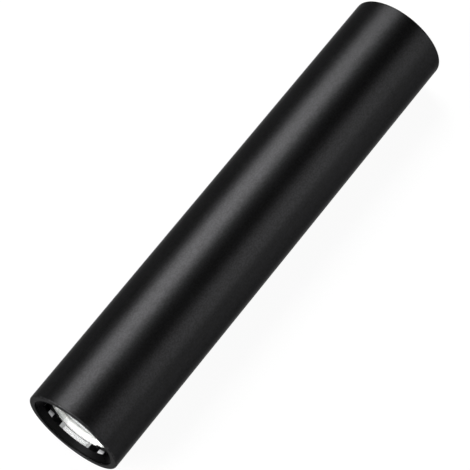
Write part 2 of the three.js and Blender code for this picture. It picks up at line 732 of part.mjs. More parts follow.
// Pill, driver and leads
addPiece("pill", pill(), BRASS);
addPiece("driver_board", ring(0, driverR, driverAt, driverEnd, WIDE_FACETS), GREEN_BOARD);
const partEnd = driverAt - SEAT_GAP;
const coil = ring(0, COIL_DIAMETER / 2, partEnd - COIL_HEIGHT, partEnd, SMALL_FACETS);
addPiece("driver_coil", coil.translate(DRIVER_PART_OFFSET, 0, 0), FERRITE);
const chip = block(CHIP_WIDTH / 2, CHIP_LENGTH / 2, partEnd - CHIP_HEIGHT, partEnd);
addPiece("driver_chip", chip.translate(-DRIVER_PART_OFFSET, 0, 0), BLACK_PLASTIC);
const driverRing = retainingRing(driverR, DRIVER_RING_WIDTH, driverRingAt, pillEnd, pillEnd);
addPiece("driver_ring", driverRing, BRASS);
const contact = ring(0, CONTACT_DIAMETER / 2, driverRingAt, contactEnd, SMALL_FACETS);
addPiece("driver_contact", contact, BRASS);
addPiece("led_lead_positive", ledLead(1), RED_LEAD);
addPiece("led_lead_negative", ledLead(-1), BLACK_RUBBER);

// Cell
addPiece("battery_can", batteryCan(), CELL_WRAP);
addPiece("battery_washer", batteryWasher(), WHITE_PLASTIC);
addPiece("battery_cap", batteryCap(), STEEL);

// Tail cap with its seal and contact spring
addPiece("tail_cap", tailCap(), BLACK_ANODISED);
addPiece("tail_o_ring", tailORing(), BLACK_RUBBER);
const tailSpring = coilSpring(
  "tail_spring",
  TAIL_SPRING_TIP / 2,
  TAIL_SPRING_BASE / 2,
  cellEnd + SEAT_GAP,
  switchBoardAt - SEAT_GAP,
  TAIL_SPRING_TURNS,
  TAIL_SPRING_WIRE,
);
addPiece("tail_spring", tailSpring, STEEL);

// Switch, boot and button
const switchRingEnd = switchBoardAt - SEAT_GAP;
const switchRingAt = switchRingEnd - SWITCH_RING_HEIGHT;
const switchRing = retainingRing(switchFitR, SWITCH_RING_WIDTH, switchRingAt, switchRingEnd, switchRingAt);
addPiece("switch_ring", switchRing, BRASS);
const switchBoard = ring(0, switchFitR, switchBoardAt, switchBoardEnd, WIDE_FACETS);
addPiece("switch_board", switchBoard, GREEN_BOARD);
const spacerIn = switchFitR - SPACER_WALL;
const spacer = ring(spacerIn, switchFitR, housingAt, bootAt - SEAT_GAP, WIDE_FACETS);
addPiece("switch_spacer", spacer, BLACK_PLASTIC);
addPiece("switch_housing", switchHousing(), BLACK_PLASTIC);
const plungerAt = housingEnd - PLUNGER_SEAT;
const plunger = disc(PLUNGER_DIAMETER / 2, plungerAt, plungerEnd, PLUNGER_EDGE, SMALL_FACETS);
addPiece("switch_plunger", plunger, RED_LEAD);
const switchSpringR = (PLUNGER_DIAMETER - SWITCH_SPRING_WIRE) / 2 - RUNNING_FIT;
const switchSpring = coilSpring(
  "switch_spring",
  switchSpringR,
  switchSpringR,
  housingAt + SWITCH_FLOOR + SEAT_GAP,
  plungerAt - SEAT_GAP,
  SWITCH_SPRING_TURNS,
  SWITCH_SPRING_WIRE,
);
addPiece("switch_spring", switchSpring, STEEL);
addPiece("switch_boot", switchBoot(), BLACK_RUBBER);
addPiece("tail_button", tailButton(), BLACK_ANODISED);

console.log(`length ${tailEnd.toFixed(2)} mm, diameter ${(2 * bodyR).toFixed(2)} mm`);

export default assembly;
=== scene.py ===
"""A straight black tube flashlight with an ultraviolet lamp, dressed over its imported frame.

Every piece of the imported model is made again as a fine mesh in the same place, with its own finish,
and rides on the same body. Sizes are in metres. The barrel lies along X with its beam towards +X.
"""

from __future__ import annotations

import logging
import math
from dataclasses import dataclass, field, replace
from enum import Enum
from typing import Any, Callable, ClassVar, Sequence

import bmesh
import bpy
from mathutils import Matrix, Vector
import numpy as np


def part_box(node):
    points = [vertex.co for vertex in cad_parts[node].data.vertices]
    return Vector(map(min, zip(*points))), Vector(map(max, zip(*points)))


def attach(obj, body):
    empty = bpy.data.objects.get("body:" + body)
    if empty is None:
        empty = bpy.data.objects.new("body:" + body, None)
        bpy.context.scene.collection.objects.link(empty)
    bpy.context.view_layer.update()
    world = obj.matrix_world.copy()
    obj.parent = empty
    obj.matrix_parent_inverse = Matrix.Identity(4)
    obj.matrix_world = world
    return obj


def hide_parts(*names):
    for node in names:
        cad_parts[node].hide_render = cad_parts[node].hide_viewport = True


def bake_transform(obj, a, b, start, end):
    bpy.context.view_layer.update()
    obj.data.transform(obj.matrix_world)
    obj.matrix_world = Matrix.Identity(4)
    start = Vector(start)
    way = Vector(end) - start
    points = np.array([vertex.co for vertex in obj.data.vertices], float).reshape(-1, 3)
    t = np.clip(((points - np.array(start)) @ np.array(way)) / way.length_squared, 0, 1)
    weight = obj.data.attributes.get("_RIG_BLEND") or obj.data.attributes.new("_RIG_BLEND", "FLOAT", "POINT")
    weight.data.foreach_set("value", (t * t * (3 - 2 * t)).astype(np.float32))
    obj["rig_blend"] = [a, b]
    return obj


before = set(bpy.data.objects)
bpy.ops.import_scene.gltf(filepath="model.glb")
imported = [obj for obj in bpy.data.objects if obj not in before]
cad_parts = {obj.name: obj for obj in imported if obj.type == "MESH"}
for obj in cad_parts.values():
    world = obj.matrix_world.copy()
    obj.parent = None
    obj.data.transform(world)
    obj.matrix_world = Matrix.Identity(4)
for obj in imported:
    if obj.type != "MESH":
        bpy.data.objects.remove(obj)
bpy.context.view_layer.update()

log = logging.getLogger("flashlight")

MM = 0.001
FULL_TURN = 2 * math.pi

# An edge that bends by more than this looks sharp.
CREASE = math.radians(32)

# Points that lie closer than this are one point.
MERGE = 2e-7

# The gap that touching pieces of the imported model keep.
SEAT = 0.05 * MM

# How far a cutter runs past what it cuts.
OVERRUN = 1.0 * MM

# How much of a face's normal lies along the barrel: hardly any of it, or most.
SIDEWAYS = 0.1
ENDWAYS = 0.5

# How far the two leads of the lamp run from the barrel's axis.
LEAD_AT = 7.0 * MM

Triple = tuple[float, float, float]
Colour = Triple
Mesh = bmesh.types.BMesh
Face = bmesh.types.BMFace
Piece = bpy.types.Object


class Body(Enum):
    """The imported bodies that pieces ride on."""

    BARREL = "barrel"
    SEAL = "seal_ring"
    CAP = "cap"
    BUTTON = "button"


class Edge(float, Enum):
    """The usual rounds on edges, from a crisp cut to a soft moulding."""

    CRISP = 0.04 * MM
    FINE = 0.06 * MM
    EASED = 0.08 * MM
    SMALL = 0.1 * MM
    MILD = 0.15 * MM
    ROUND = 0.2 * MM
    SOFT = 0.25 * MM


class Carve(Enum):
    """How one shape changes another."""

    ADD = "UNION"
    REMOVE = "DIFFERENCE"


@dataclass(frozen=True)
class Span:
    """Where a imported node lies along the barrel, and how far it reaches from its own middle.

    Attributes:
        front: Its end towards the beam.
        back: Its end towards the tail.
        radius: Half its width across the barrel.
        across: The y of its middle.
        height: The z of its middle.
    """

    front: float
    back: float
    radius: float
    across: float
    height: float

    @classmethod
    def of(cls, node: str) -> Span:
        """Reads a node's place from the frame.

        Args:
            node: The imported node's name.

        Returns:
            The node's span.
        """
        low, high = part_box(node)
        middle = (low + high) / 2
        return cls(high.x, low.x, (high.y - low.y) / 2, middle.y, middle.z)

    @property
    def middle(self) -> float:
        """The x halfway along it."""
        return (self.front + self.back) / 2


TUBE = Span.of("body_tube")
AXIS_Z = TUBE.height


class Socket:
    """A shader value that Python's own operators combine."""

    def __init__(self, graph: Graph, source: bpy.types.NodeSocket) -> None:
        """Wraps one socket of a node in a graph."""
        self.graph = graph
        self.source = source

    def _math(self, operation: str, first: Any, second: Any) -> Socket:
        """Adds one Math node and gives its value."""
        return self.graph.node("ShaderNodeMath", {"operation": operation}, {0: first, 1: second})

    def __add__(self, other: Any) -> Socket:
        """self + other."""
        return self._math("ADD", self, other)

    def __radd__(self, other: Any) -> Socket:
        """other + self."""
        return self._math("ADD", other, self)

    def __sub__(self, other: Any) -> Socket:
        """self - other."""
        return self._math("SUBTRACT", self, other)

    def __rsub__(self, other: Any) -> Socket:
        """other - self."""
        return self._math("SUBTRACT", other, self)

    def __mul__(self, other: Any) -> Socket:
        """self * other."""
        return self._math("MULTIPLY", self, other)

    def __rmul__(self, other: Any) -> Socket:
        """other * self."""
        return self._math("MULTIPLY", other, self)

    def __truediv__(self, other: Any) -> Socket:
        """self / other."""
        return self._math("DIVIDE", self, other)

    def __rtruediv__(self, other: Any) -> Socket:
        """other / self."""
        return self._math("DIVIDE", other, self)

    def __pow__(self, other: Any) -> Socket:
        """self to the power of other."""
        return self._math("POWER", self, other)

    def __rpow__(self, other: Any) -> Socket:
        """other to the power of self."""
        return self._math("POWER", other, self)

    def __abs__(self) -> Socket:
        """The size of self without its sign."""
        return self._math("ABSOLUTE", self, 0.0)


class Graph:
    """The node tree of one finish, of the floor or of the world."""

    def __init__(self, tree: bpy.types.NodeTree) -> None:
        """Takes over a node tree and empties it."""
        self.tree = tree
        self.tree.nodes.clear()

    def node(
        self,
        kind: str,
        settings: dict[str, Any] | None = None,
        inputs: dict[int | str, Any] | None = None,
        output: int | str = 0,
    ) -> Socket:
        """Adds one node.

        Args:
            kind: The node's type.
            settings: The node's own settings, which are set first.
            inputs: Values or links of its sockets, by name or number.
            output: The socket that the result stands for.

        Returns:
            The chosen output, or the first input of a node that has no output.
        """
        made = self.tree.nodes.new(kind)
        for key, value in (settings or {}).items():
            setattr(made, key, value)
        for key, value in (inputs or {}).items():
            if isinstance(value, Socket):
                self.tree.links.new(value.source, made.inputs[key])
            elif isinstance(value, tuple) and made.inputs[key].type == "RGBA":
                made.inputs[key].default_value = (*value, 1.0)
            else:
                made.inputs[key].default_value = value
        return Socket(self, made.outputs[output] if len(made.outputs) else made.inputs[0])

    def place(self) -> Socket:
        """The point on the piece, in metres in the frame."""
        return self.node("ShaderNodeTexCoord", output="Object")

    def split(self, vector: Socket) -> list[Socket]:
        """The three parts of a vector."""
        first = self.node("ShaderNodeSeparateXYZ", inputs={0: vector})
        return [Socket(self, first.source.node.outputs[i]) for i in range(3)]

    def turned(self) -> tuple[Socket, Socket]:
        """Lathe coordinates about the barrel's axis.

        Returns:
            The place along the axis, and the distance from it.
        """
        x, y, z = self.split(self.place())
        rise = z - AXIS_Z
        return x, (y * y + rise * rise) ** 0.5

    def noise(self, size: float, detail: float, stretch: Triple = (1.0, 1.0, 1.0)) -> Socket:
        """A soft random pattern from 0 to 1, given its patches' size and its finer layers."""
        place = self.node("ShaderNodeMapping", inputs={0: self.place(), "Scale": stretch})
        return self.node("ShaderNodeTexNoise", None, {"Vector": place, "Scale": 1 / size, "Detail": detail})

    def lines(self, along: Socket, size: float, detail: float) -> Socket:
        """Random lines across one coordinate, from 0 to 1, as a tool leaves them."""
        inputs = {"W": along, "Scale": 1 / size, "Detail": detail}
        return self.node("ShaderNodeTexNoise", {"noise_dimensions": "1D"}, inputs)

    def band(self, value: Socket, low: float, high: float) -> Socket:
        """Rises smoothly from 0 where a value is low to 1 where it is high."""
        settings = {"interpolation_type": "SMOOTHSTEP"}
        return self.node("ShaderNodeMapRange", settings, {0: value, 1: low, 2: high})

    def zigzag(self, value: Socket, width: float) -> Socket:
        """Rises from 0 to a width and falls back to 0, over and over, as a value grows."""
        return self.node("ShaderNodeMath", {"operation": "PINGPONG"}, {0: value, 1: width})

    def tint(self, share: Any, first: Any, second: Any) -> Socket:
        """Mixes two colours by the share of the second."""
        inputs = {0: share, 6: first, 7: second}
        return self.node("ShaderNodeMix", {"data_type": "RGBA"}, inputs, output=2)

    def bump(self, height: Socket, depth: float) -> Socket:
        """The normal on a relief whose height runs from 0 to 1, over a real depth."""
        return self.node("ShaderNodeBump", None, {"Height": height, "Distance": depth})

    def principled(self, inputs: dict[int | str, Any]) -> Socket:
        """Adds a Principled shader, given the values or links of its sockets."""
        return self.node("ShaderNodeBsdfPrincipled", None, inputs)

    def surface(self, shader: Socket) -> None:
        """Makes a shader the surface of the material."""
        self.node("ShaderNodeOutputMaterial", None, {"Surface": shader})

    def dress(self, inputs: dict[int | str, Any]) -> None:
        """Makes a Principled shader the surface of the material."""
        self.surface(self.principled(inputs))


@dataclass(frozen=True)
class Finish:
    """A surface finish, made into a material the first time that a piece asks for it.

    Attributes:
        name: The material's name.
        slot: The record's material slot that it belongs to; not used.
        made: The materials that exist so far, by name.
    """

    name: str
    slot: str
    made: ClassVar[dict[str, bpy.types.Material]] = {}

    def material(self) -> bpy.types.Material:
        """Gives the finish as a material.

        Returns:
            The material, which pieces of the same finish share.
        """
        if self.name not in self.made:
            material = bpy.data.materials.new(self.name)
            material.use_nodes = True
            self.paint(Graph(material.node_tree))
            self.made[self.name] = material
        return self.made[self.name]

    def paint(self, graph: Graph) -> None:
        """Draws the finish's nodes."""
        raise NotImplementedError


@dataclass(frozen=True)
class Anodised(Finish):
    """Blasted aluminium under a black anodic film, a little worn at the two end rims, where lighter metal
    also paints a highlight along the rim edges.

    Attributes:
        tone: How much light it returns, face on.
        edge: How much of the usual glare it keeps at a glancing angle.
        roughness: Its mean roughness.
        grain: The size of the blasted grain.
        grain_depth: The depth of that grain.
        speck: The size of the specks in the dye.
        cloud: The size of the clouds in the dye.
        draw: The width of a draw line.
        wear_and_highlight_spot: The size of a rubbed spot on the rims, a lighter patch that is partly wear
            and partly painted highlight.
        worn_highlight_tone: The lighter tone of a rubbed spot, partly bare metal from wear and partly a
            painted highlight.
        rim_length: From the tube's ends to where the rubbed band with its painted highlight starts, and to
            where it is full.
        rim_depth: From the tube's outside to where that band starts, and to where it is full.
    """

    tone: float = 0.018
    edge: float = 0.46
    roughness: float = 0.38
    grain: float = 0.16 * MM
    grain_depth: float = 0.006 * MM
    speck: float = 0.4 * MM
    cloud: float = 14 * MM
    draw: float = 0.5 * MM
    wear_and_highlight_spot: float = 0.9 * MM
    worn_highlight_tone: float = 0.06
    rim_length: tuple[float, float] = (0.5 * MM, 0.1 * MM)
    rim_depth: tuple[float, float] = (0.55 * MM, 0.25 * MM)

    def paint(self, graph: Graph) -> None:
        """Draws grain, faint draw lines, uneven dye and rubbed rims, whose lighter tone is partly wear and
        partly a painted highlight.

        Args:
            graph: The material's graph.
        """
        x, radius = graph.turned()
        grain = graph.noise(self.grain, detail=3.0)
        cloud = graph.noise(self.cloud, detail=3.0)
        speck = graph.noise(self.speck, detail=2.0)
        drawn = graph.lines(x, self.draw, detail=4.0)
        # Lighter patches along the outer edge of both end rims: partly wear, partly a painted highlight line
        # along the rims.
        end = graph.band(abs(x), *(TUBE.front - inset for inset in self.rim_length))
        rim = end * graph.band(radius, *(TUBE.radius - inset for inset in self.rim_depth))
        wear_and_highlight = rim * graph.band(graph.noise(self.wear_and_highlight_spot, detail=4.0), low=0.42, high=0.7)
        patchy = cloud * 0.4 + graph.band(speck, low=0.32, high=0.68) * 0.6
        deep = (self.tone * 0.7,) * 3
        pale = (self.tone * 1.28, self.tone * 1.28, self.tone * 1.34)
        dye = graph.tint(patchy, deep, pale)
        graph.dress(
            {
                "Base Color": graph.tint(wear_and_highlight * 0.6, dye, (self.worn_highlight_tone,) * 3),
                "Metallic": 1.0,
                "Roughness": self.roughness + (cloud - 0.5) * 0.07 + (drawn - 0.5) * 0.05 - wear_and_highlight * 0.06,
                "Specular Tint": (self.edge,) * 3,
                "Normal": graph.bump(grain, self.grain_depth),
            }
        )


@dataclass(frozen=True)
class Turned(Finish):
    """Bare metal with the fine rings that a lathe leaves, and a little tarnish.

    Attributes:
        colour: The clean metal's colour.
        tarnish: Its colour where it has dulled.
        roughness: Its mean roughness.
        line: The width of a lathe ring.
        depth: The depth of a lathe ring.
        dull: How much of it has tarnished.
        cloud: The size of a tarnished patch.
    """

    colour: Colour = (0.8, 0.8, 0.8)
    tarnish: Colour = (0.5, 0.5, 0.5)
    roughness: float = 0.3
    line: float = 0.12 * MM
    depth: float = 0.002 * MM
    dull: float = 0.5
    cloud: float = 2.2 * MM

    def paint(self, graph: Graph) -> None:
        """Draws rings along the axis and out from it, over a clouded metal colour.

        Args:
            graph: The material's graph.
        """
        x, radius = graph.turned()
        rings = graph.lines(x + radius, self.line, detail=3.0)
        cloud = graph.band(graph.noise(self.cloud, detail=4.0), low=0.4, high=0.75)
        graph.dress(
            {
                "Base Color": graph.tint(cloud * self.dull, self.colour, self.tarnish),
                "Metallic": 1.0,
                "Roughness": self.roughness + (rings - 0.5) * 0.16 + cloud * 0.1,
                "Normal": graph.bump(rings, self.depth),
            }
        )


@dataclass(frozen=True)
class Coated(Finish):
    """A bright vacuum-coated mirror over a gentle orange-peel relief.

    Attributes:
        colour: The coating's colour.
        roughness: Its mean roughness.
        peel: The size of a dimple.
        depth: The depth of a dimple.
        haze: The size of a hazy patch.
    """

    colour: Colour = (0.95, 0.953, 0.955)
    roughness: float = 0.12
    peel: float = 0.45 * MM
    depth: float = 0.012 * MM
    haze: float = 3.0 * MM

    def paint(self, graph: Graph) -> None:
        """Draws dimples, with a soft haze that comes and goes.

        Args:
            graph: The material's graph.
        """
        dimples = graph.node(
            "ShaderNodeTexVoronoi",
            {"feature": "SMOOTH_F1"},
            {"Vector": graph.place(), "Scale": 1 / self.peel, "Smoothness": 1.0},
        )
        haze = graph.noise(self.haze, detail=3.0)
        graph.dress(
            {
                "Base Color": graph.tint(haze, shaded(self.colour, 0.94), self.colour),
                "Metallic": 1.0,
                "Roughness": self.roughness + (haze - 0.5) * 0.08,
                "Normal": graph.bump(dimples, self.depth),
            }
        )


@dataclass(frozen=True)
class Clear(Finish):
    """Glass or clear silicone, with a trace of dust and wiping marks.

    Attributes:
        colour: The tint of what shows through.
        index: Its refractive index.
        roughness: The roughness of a wiping mark.
        wipe: The size of a wiping mark.
        wipe_stretch: How a wiping mark is drawn out along each axis.
        dust: The size of a speck of dust.
        dust_colour: The tint under a speck of dust.
    """

    colour: Colour = (0.985, 0.992, 0.99)
    index: float = 1.5
    roughness: float = 0.03
    wipe: float = 1.4 * MM
    wipe_stretch: Triple = (1.0, 0.35, 1.0)
    dust: float = 0.12 * MM
    dust_colour: Colour = (0.8, 0.8, 0.78)

    def paint(self, graph: Graph) -> None:
        """Draws clear glass that lets the lamps reach what lies behind it.

        Args:
            graph: The material's graph.
        """
        wiped = graph.band(graph.noise(self.wipe, detail=4.0, stretch=self.wipe_stretch), low=0.5, high=0.8)
        dust = graph.band(graph.noise(self.dust, detail=2.0), low=0.72, high=0.8)
        body = graph.principled(
            {
                "Base Color": graph.tint(dust * 0.3, self.colour, self.dust_colour),
                "Roughness": wiped * self.roughness + dust * 0.06,
                "IOR": self.index,
                "Transmission Weight": 1.0,
            }
        )
        open_way = graph.node("ShaderNodeBsdfTransparent", None, {"Color": self.colour})
        lamps = graph.node("ShaderNodeLightPath", output="Is Shadow Ray")
        graph.surface(graph.node("ShaderNodeMixShader", None, {0: lamps, 1: body, 2: open_way}))


@dataclass(frozen=True)
class Moulded(Finish):
    """Plastic, rubber, ceramic or silicone with a fine skin.

    Attributes:
        colour: Its main colour.
        second: The colour that it drifts towards in patches.
        roughness: Its mean roughness.
        skin: The size of its surface grain.
        depth: The depth of that grain.
        patch: The size of a patch.
    """

    colour: Colour = (0.5, 0.5, 0.5)
    second: Colour = (0.45, 0.45, 0.45)
    roughness: float = 0.5
    skin: float = 0.15 * MM
    depth: float = 0.004 * MM
    patch: float = 1.8 * MM

    def paint(self, graph: Graph) -> None:
        """Draws a mottled colour under a fine moulded grain.

        Args:
            graph: The material's graph.
        """
        patches = graph.band(graph.noise(self.patch, detail=3.0), low=0.3, high=0.7)
        grain = graph.noise(self.skin, detail=3.0)
        graph.dress(
            {
                "Base Color": graph.tint(patches, self.colour, self.second),
                "Roughness": self.roughness + (grain - 0.5) * 0.16 + (patches - 0.5) * 0.06,
                "Normal": graph.bump(grain, self.depth),
            }
        )


@dataclass(frozen=True)
class Board(Finish):
    """A circuit board: solder mask over glass weave, with bare ring pads.

    Attributes:
        mask: The solder mask's colour.
        pad: The bare pads' colour.
        rings: Inner and outer radius of each bare ring.
        weave: The pitch of the glass weave.
        blur: The width of a ring's soft edge.
        patch: The size of a patch in the mask.
        roughness: Its mean roughness.
        relief: The depth of the weave and the pads.
    """

    mask: Colour = (0.02, 0.12, 0.05)
    pad: Colour = (0.75, 0.58, 0.3)
    rings: tuple[tuple[float, float], ...] = ()
    weave: float = 0.5 * MM
    blur: float = 0.04 * MM
    patch: float = 1.5 * MM
    roughness: float = 0.42
    relief: float = 0.006 * MM

    def paint(self, graph: Graph) -> None:
        """Draws mask, weave and tinned rings about the barrel's axis.

        Args:
            graph: The material's graph.
        """
        _, radius = graph.turned()
        _, y, z = graph.split(graph.place())
        cloth = (graph.zigzag(y, self.weave) + graph.zigzag(z, self.weave)) / (2 * self.weave)
        bare: Any = 0.0
        for inner, outer in self.rings:
            outside = graph.band(radius, outer, outer + self.blur)
            bare = graph.band(radius, inner - self.blur, inner) * (1.0 - outside) + bare
        patches = graph.noise(self.patch, detail=3.0)
        masked = graph.tint(patches * 0.6 + cloth * 0.3, self.mask, shaded(self.mask, 0.8))
        graph.dress(
            {
                "Base Color": graph.tint(bare, masked, self.pad),
                "Metallic": bare,
                "Roughness": self.roughness + (patches - 0.5) * 0.2,
                "Normal": graph.bump(cloth + bare, self.relief),
            }
        )


@dataclass(frozen=True)
class Wrap(Finish):
    """Shrunk film around the cell, glossy, with faint ripples along it.

    Attributes:
        colour: The film's colour.
        roughness: Its roughness.
        gloss: How much of a clear coat it has.
        ripple: The width of a ripple.
        ripple_stretch: How a ripple is drawn out along each axis.
        ripple_depth: The depth of a ripple.
        cloud: The size of an uneven patch.
    """

    colour: Colour = (0.03, 0.1, 0.26)
    roughness: float = 0.24
    gloss: float = 0.3
    ripple: float = 2.5 * MM
    ripple_stretch: Triple = (0.12, 1.0, 1.0)
    ripple_depth: float = 0.02 * MM
    cloud: float = 8 * MM

    def paint(self, graph: Graph) -> None:
        """Draws a coloured film, pulled tight and a little uneven.

        Args:
            graph: The material's graph.
        """
        ripples = graph.noise(self.ripple, detail=2.0, stretch=self.ripple_stretch)
        cloud = graph.noise(self.cloud, detail=3.0)
        graph.dress(
            {
                "Base Color": graph.tint(cloud, shaded(self.colour, 0.85), self.colour),
                "Roughness": self.roughness + (cloud - 0.5) * 0.1,
                "Coat Weight": self.gloss,
                "Normal": graph.bump(ripples, self.ripple_depth),
            }
        )


@dataclass(frozen=True)
class Emitter(Finish):
    """The lamp's die: a pale chip crossed by fine conductors.

    Attributes:
        colour: The chip's colour.
        line: The conductors' colour.
        pitch: Their spacing.
        width: Their half width, as a share of the spacing.
        cloud: The size of a patch on the chip.
        roughness: Its least roughness.
        relief: The height of a conductor.
    """

    colour: Colour = (0.3, 0.29, 0.2)
    line: Colour = (0.75, 0.62, 0.3)
    pitch: float = 0.22 * MM
    width: float = 0.14
    cloud: float = 0.2 * MM
    roughness: float = 0.3
    relief: float = 0.004 * MM

    def paint(self, graph: Graph) -> None:
        """Draws parallel conductors over a cloudy chip.

        Args:
            graph: The material's graph.
        """
        _, y, _ = graph.split(graph.place())
        wave = graph.zigzag(y, self.pitch / 2) / (self.pitch / 2)
        conductor = 1.0 - graph.band(wave, self.width, self.width * 2)
        cloud = graph.noise(self.cloud, detail=3.0)
        chip = graph.tint(cloud, self.colour, shaded(self.colour, 0.8))
        graph.dress(
            {
                "Base Color": graph.tint(conductor, chip, self.line),
                "Metallic": conductor * 0.9,
                "Roughness": self.roughness + cloud * 0.15,
                "Normal": graph.bump(conductor, self.relief),
            }
        )


def shaded(colour: Colour, share: float) -> Colour:
    """A colour with only a share of its light."""
    return tuple(part * share for part in colour)


BLACK_ANODISE = Anodised("black anodise", "anodised_black")
CROWN_ANODISE = Anodised("crown anodise", "crown_black", tone=0.006, roughness=0.4, grain=0.1 * MM)
BUTTON_ANODISE = Anodised("button anodise", "button_black", tone=0.02, roughness=0.3, grain=0.1 * MM)
BRIGHT_CUT = Turned(
    "bright cut", "crown_black", (0.62, 0.62, 0.63), (0.52, 0.52, 0.53), roughness=0.42, line=0.05 * MM
)
LENS_GLASS = Clear("lens glass", "lens_glass")
DOME_SILICONE = Clear("dome silicone", "led_dome", (0.99, 0.985, 0.96), index=1.41, roughness=0.02)
WHITE_SILICONE = Moulded(
    "white silicone", "silicone_white", (0.86, 0.86, 0.84), (0.82, 0.82, 0.79),
    roughness=0.45, skin=0.2 * MM, depth=0.003 * MM,
)
REFLECTOR_COAT = Coated("reflector coat", "reflector_bright")
COLLAR_COAT = Coated(
    "collar coat", "reflector_bright", (0.985, 0.985, 0.985),
    roughness=0.15, peel=1.2 * MM, depth=0.003 * MM,
)
REFLECTOR_BACK = Turned(
    "reflector back", "reflector_bright", (0.78, 0.79, 0.8), (0.55, 0.55, 0.56), roughness=0.34
)
WHITE_PLASTIC = Moulded(
    "white plastic", "plastic_white", (0.8, 0.8, 0.77), (0.74, 0.74, 0.7), roughness=0.45
)
CERAMIC = Moulded(
    "ceramic", "ceramic_white", (0.72, 0.71, 0.67), (0.66, 0.65, 0.6),
    roughness=0.4, skin=0.06 * MM, depth=0.002 * MM,
)
DIE = Emitter("emitter die", "led_die")
WHITE_BOARD = Board(
    "white board", "board_white", (0.78, 0.78, 0.75), (0.72, 0.7, 0.62),
    rings=((3.0 * MM, 3.4 * MM),), weave=0.8 * MM,
)
BRASS = Turned(
    "turned brass", "brass_turned", (0.72, 0.52, 0.22), (0.45, 0.3, 0.12), roughness=0.3, line=0.15 * MM
)
GREEN_BOARD = Board("green board", "board_green", rings=((3.2 * MM, 4.2 * MM), (7.5 * MM, 8.5 * MM)))
FERRITE = Moulded(
    "ferrite", "ferrite", (0.04, 0.04, 0.042), (0.028, 0.028, 0.03),
    roughness=0.62, skin=0.08 * MM, depth=0.006 * MM,
)
COPPER = Turned(
    "copper wire", "ferrite", (0.72, 0.3, 0.14), (0.5, 0.18, 0.07),
    roughness=0.28, line=0.1 * MM, depth=0.001 * MM,
)
BLACK_PLASTIC = Moulded(
    "black plastic", "plastic_black", (0.016, 0.016, 0.017), (0.012, 0.012, 0.013), roughness=0.48
)
RED_PLASTIC = Moulded(
    "red plastic", "plastic_red", (0.4, 0.02, 0.02), (0.33, 0.015, 0.015), roughness=0.38
)
RED_LEAD = Moulded(
    "red insulation", "lead_red", (0.42, 0.015, 0.015), (0.36, 0.012, 0.012), roughness=0.4
)
BLACK_LEAD = Moulded(
    "black insulation", "lead_black", (0.013, 0.013, 0.014), (0.01, 0.01, 0.011), roughness=0.42
)
CELL_FILM = Wrap("cell film", "cell_wrap")
STEEL = Turned(
    "plated steel", "steel_plated", (0.66, 0.66, 0.64), (0.5, 0.5, 0.48), roughness=0.26, line=0.1 * MM
)
SOLDER = Turned(
    "solder", "board_green", (0.72, 0.72, 0.71), (0.55, 0.55, 0.54), roughness=0.28, line=0.3 * MM
)
RUBBER = Moulded(
    "black rubber", "rubber_black", (0.014, 0.014, 0.015), (0.011, 0.011, 0.012),
    roughness=0.6, skin=0.12 * MM,
)


@dataclass(frozen=True)
class Corner:
    """A corner of a turned outline.

    Attributes:
        x: Its place along the barrel.
        r: Its distance from the axis.
        round: The radius of the round on it.
    """

    x: float
    r: float
    round: float = 0.0


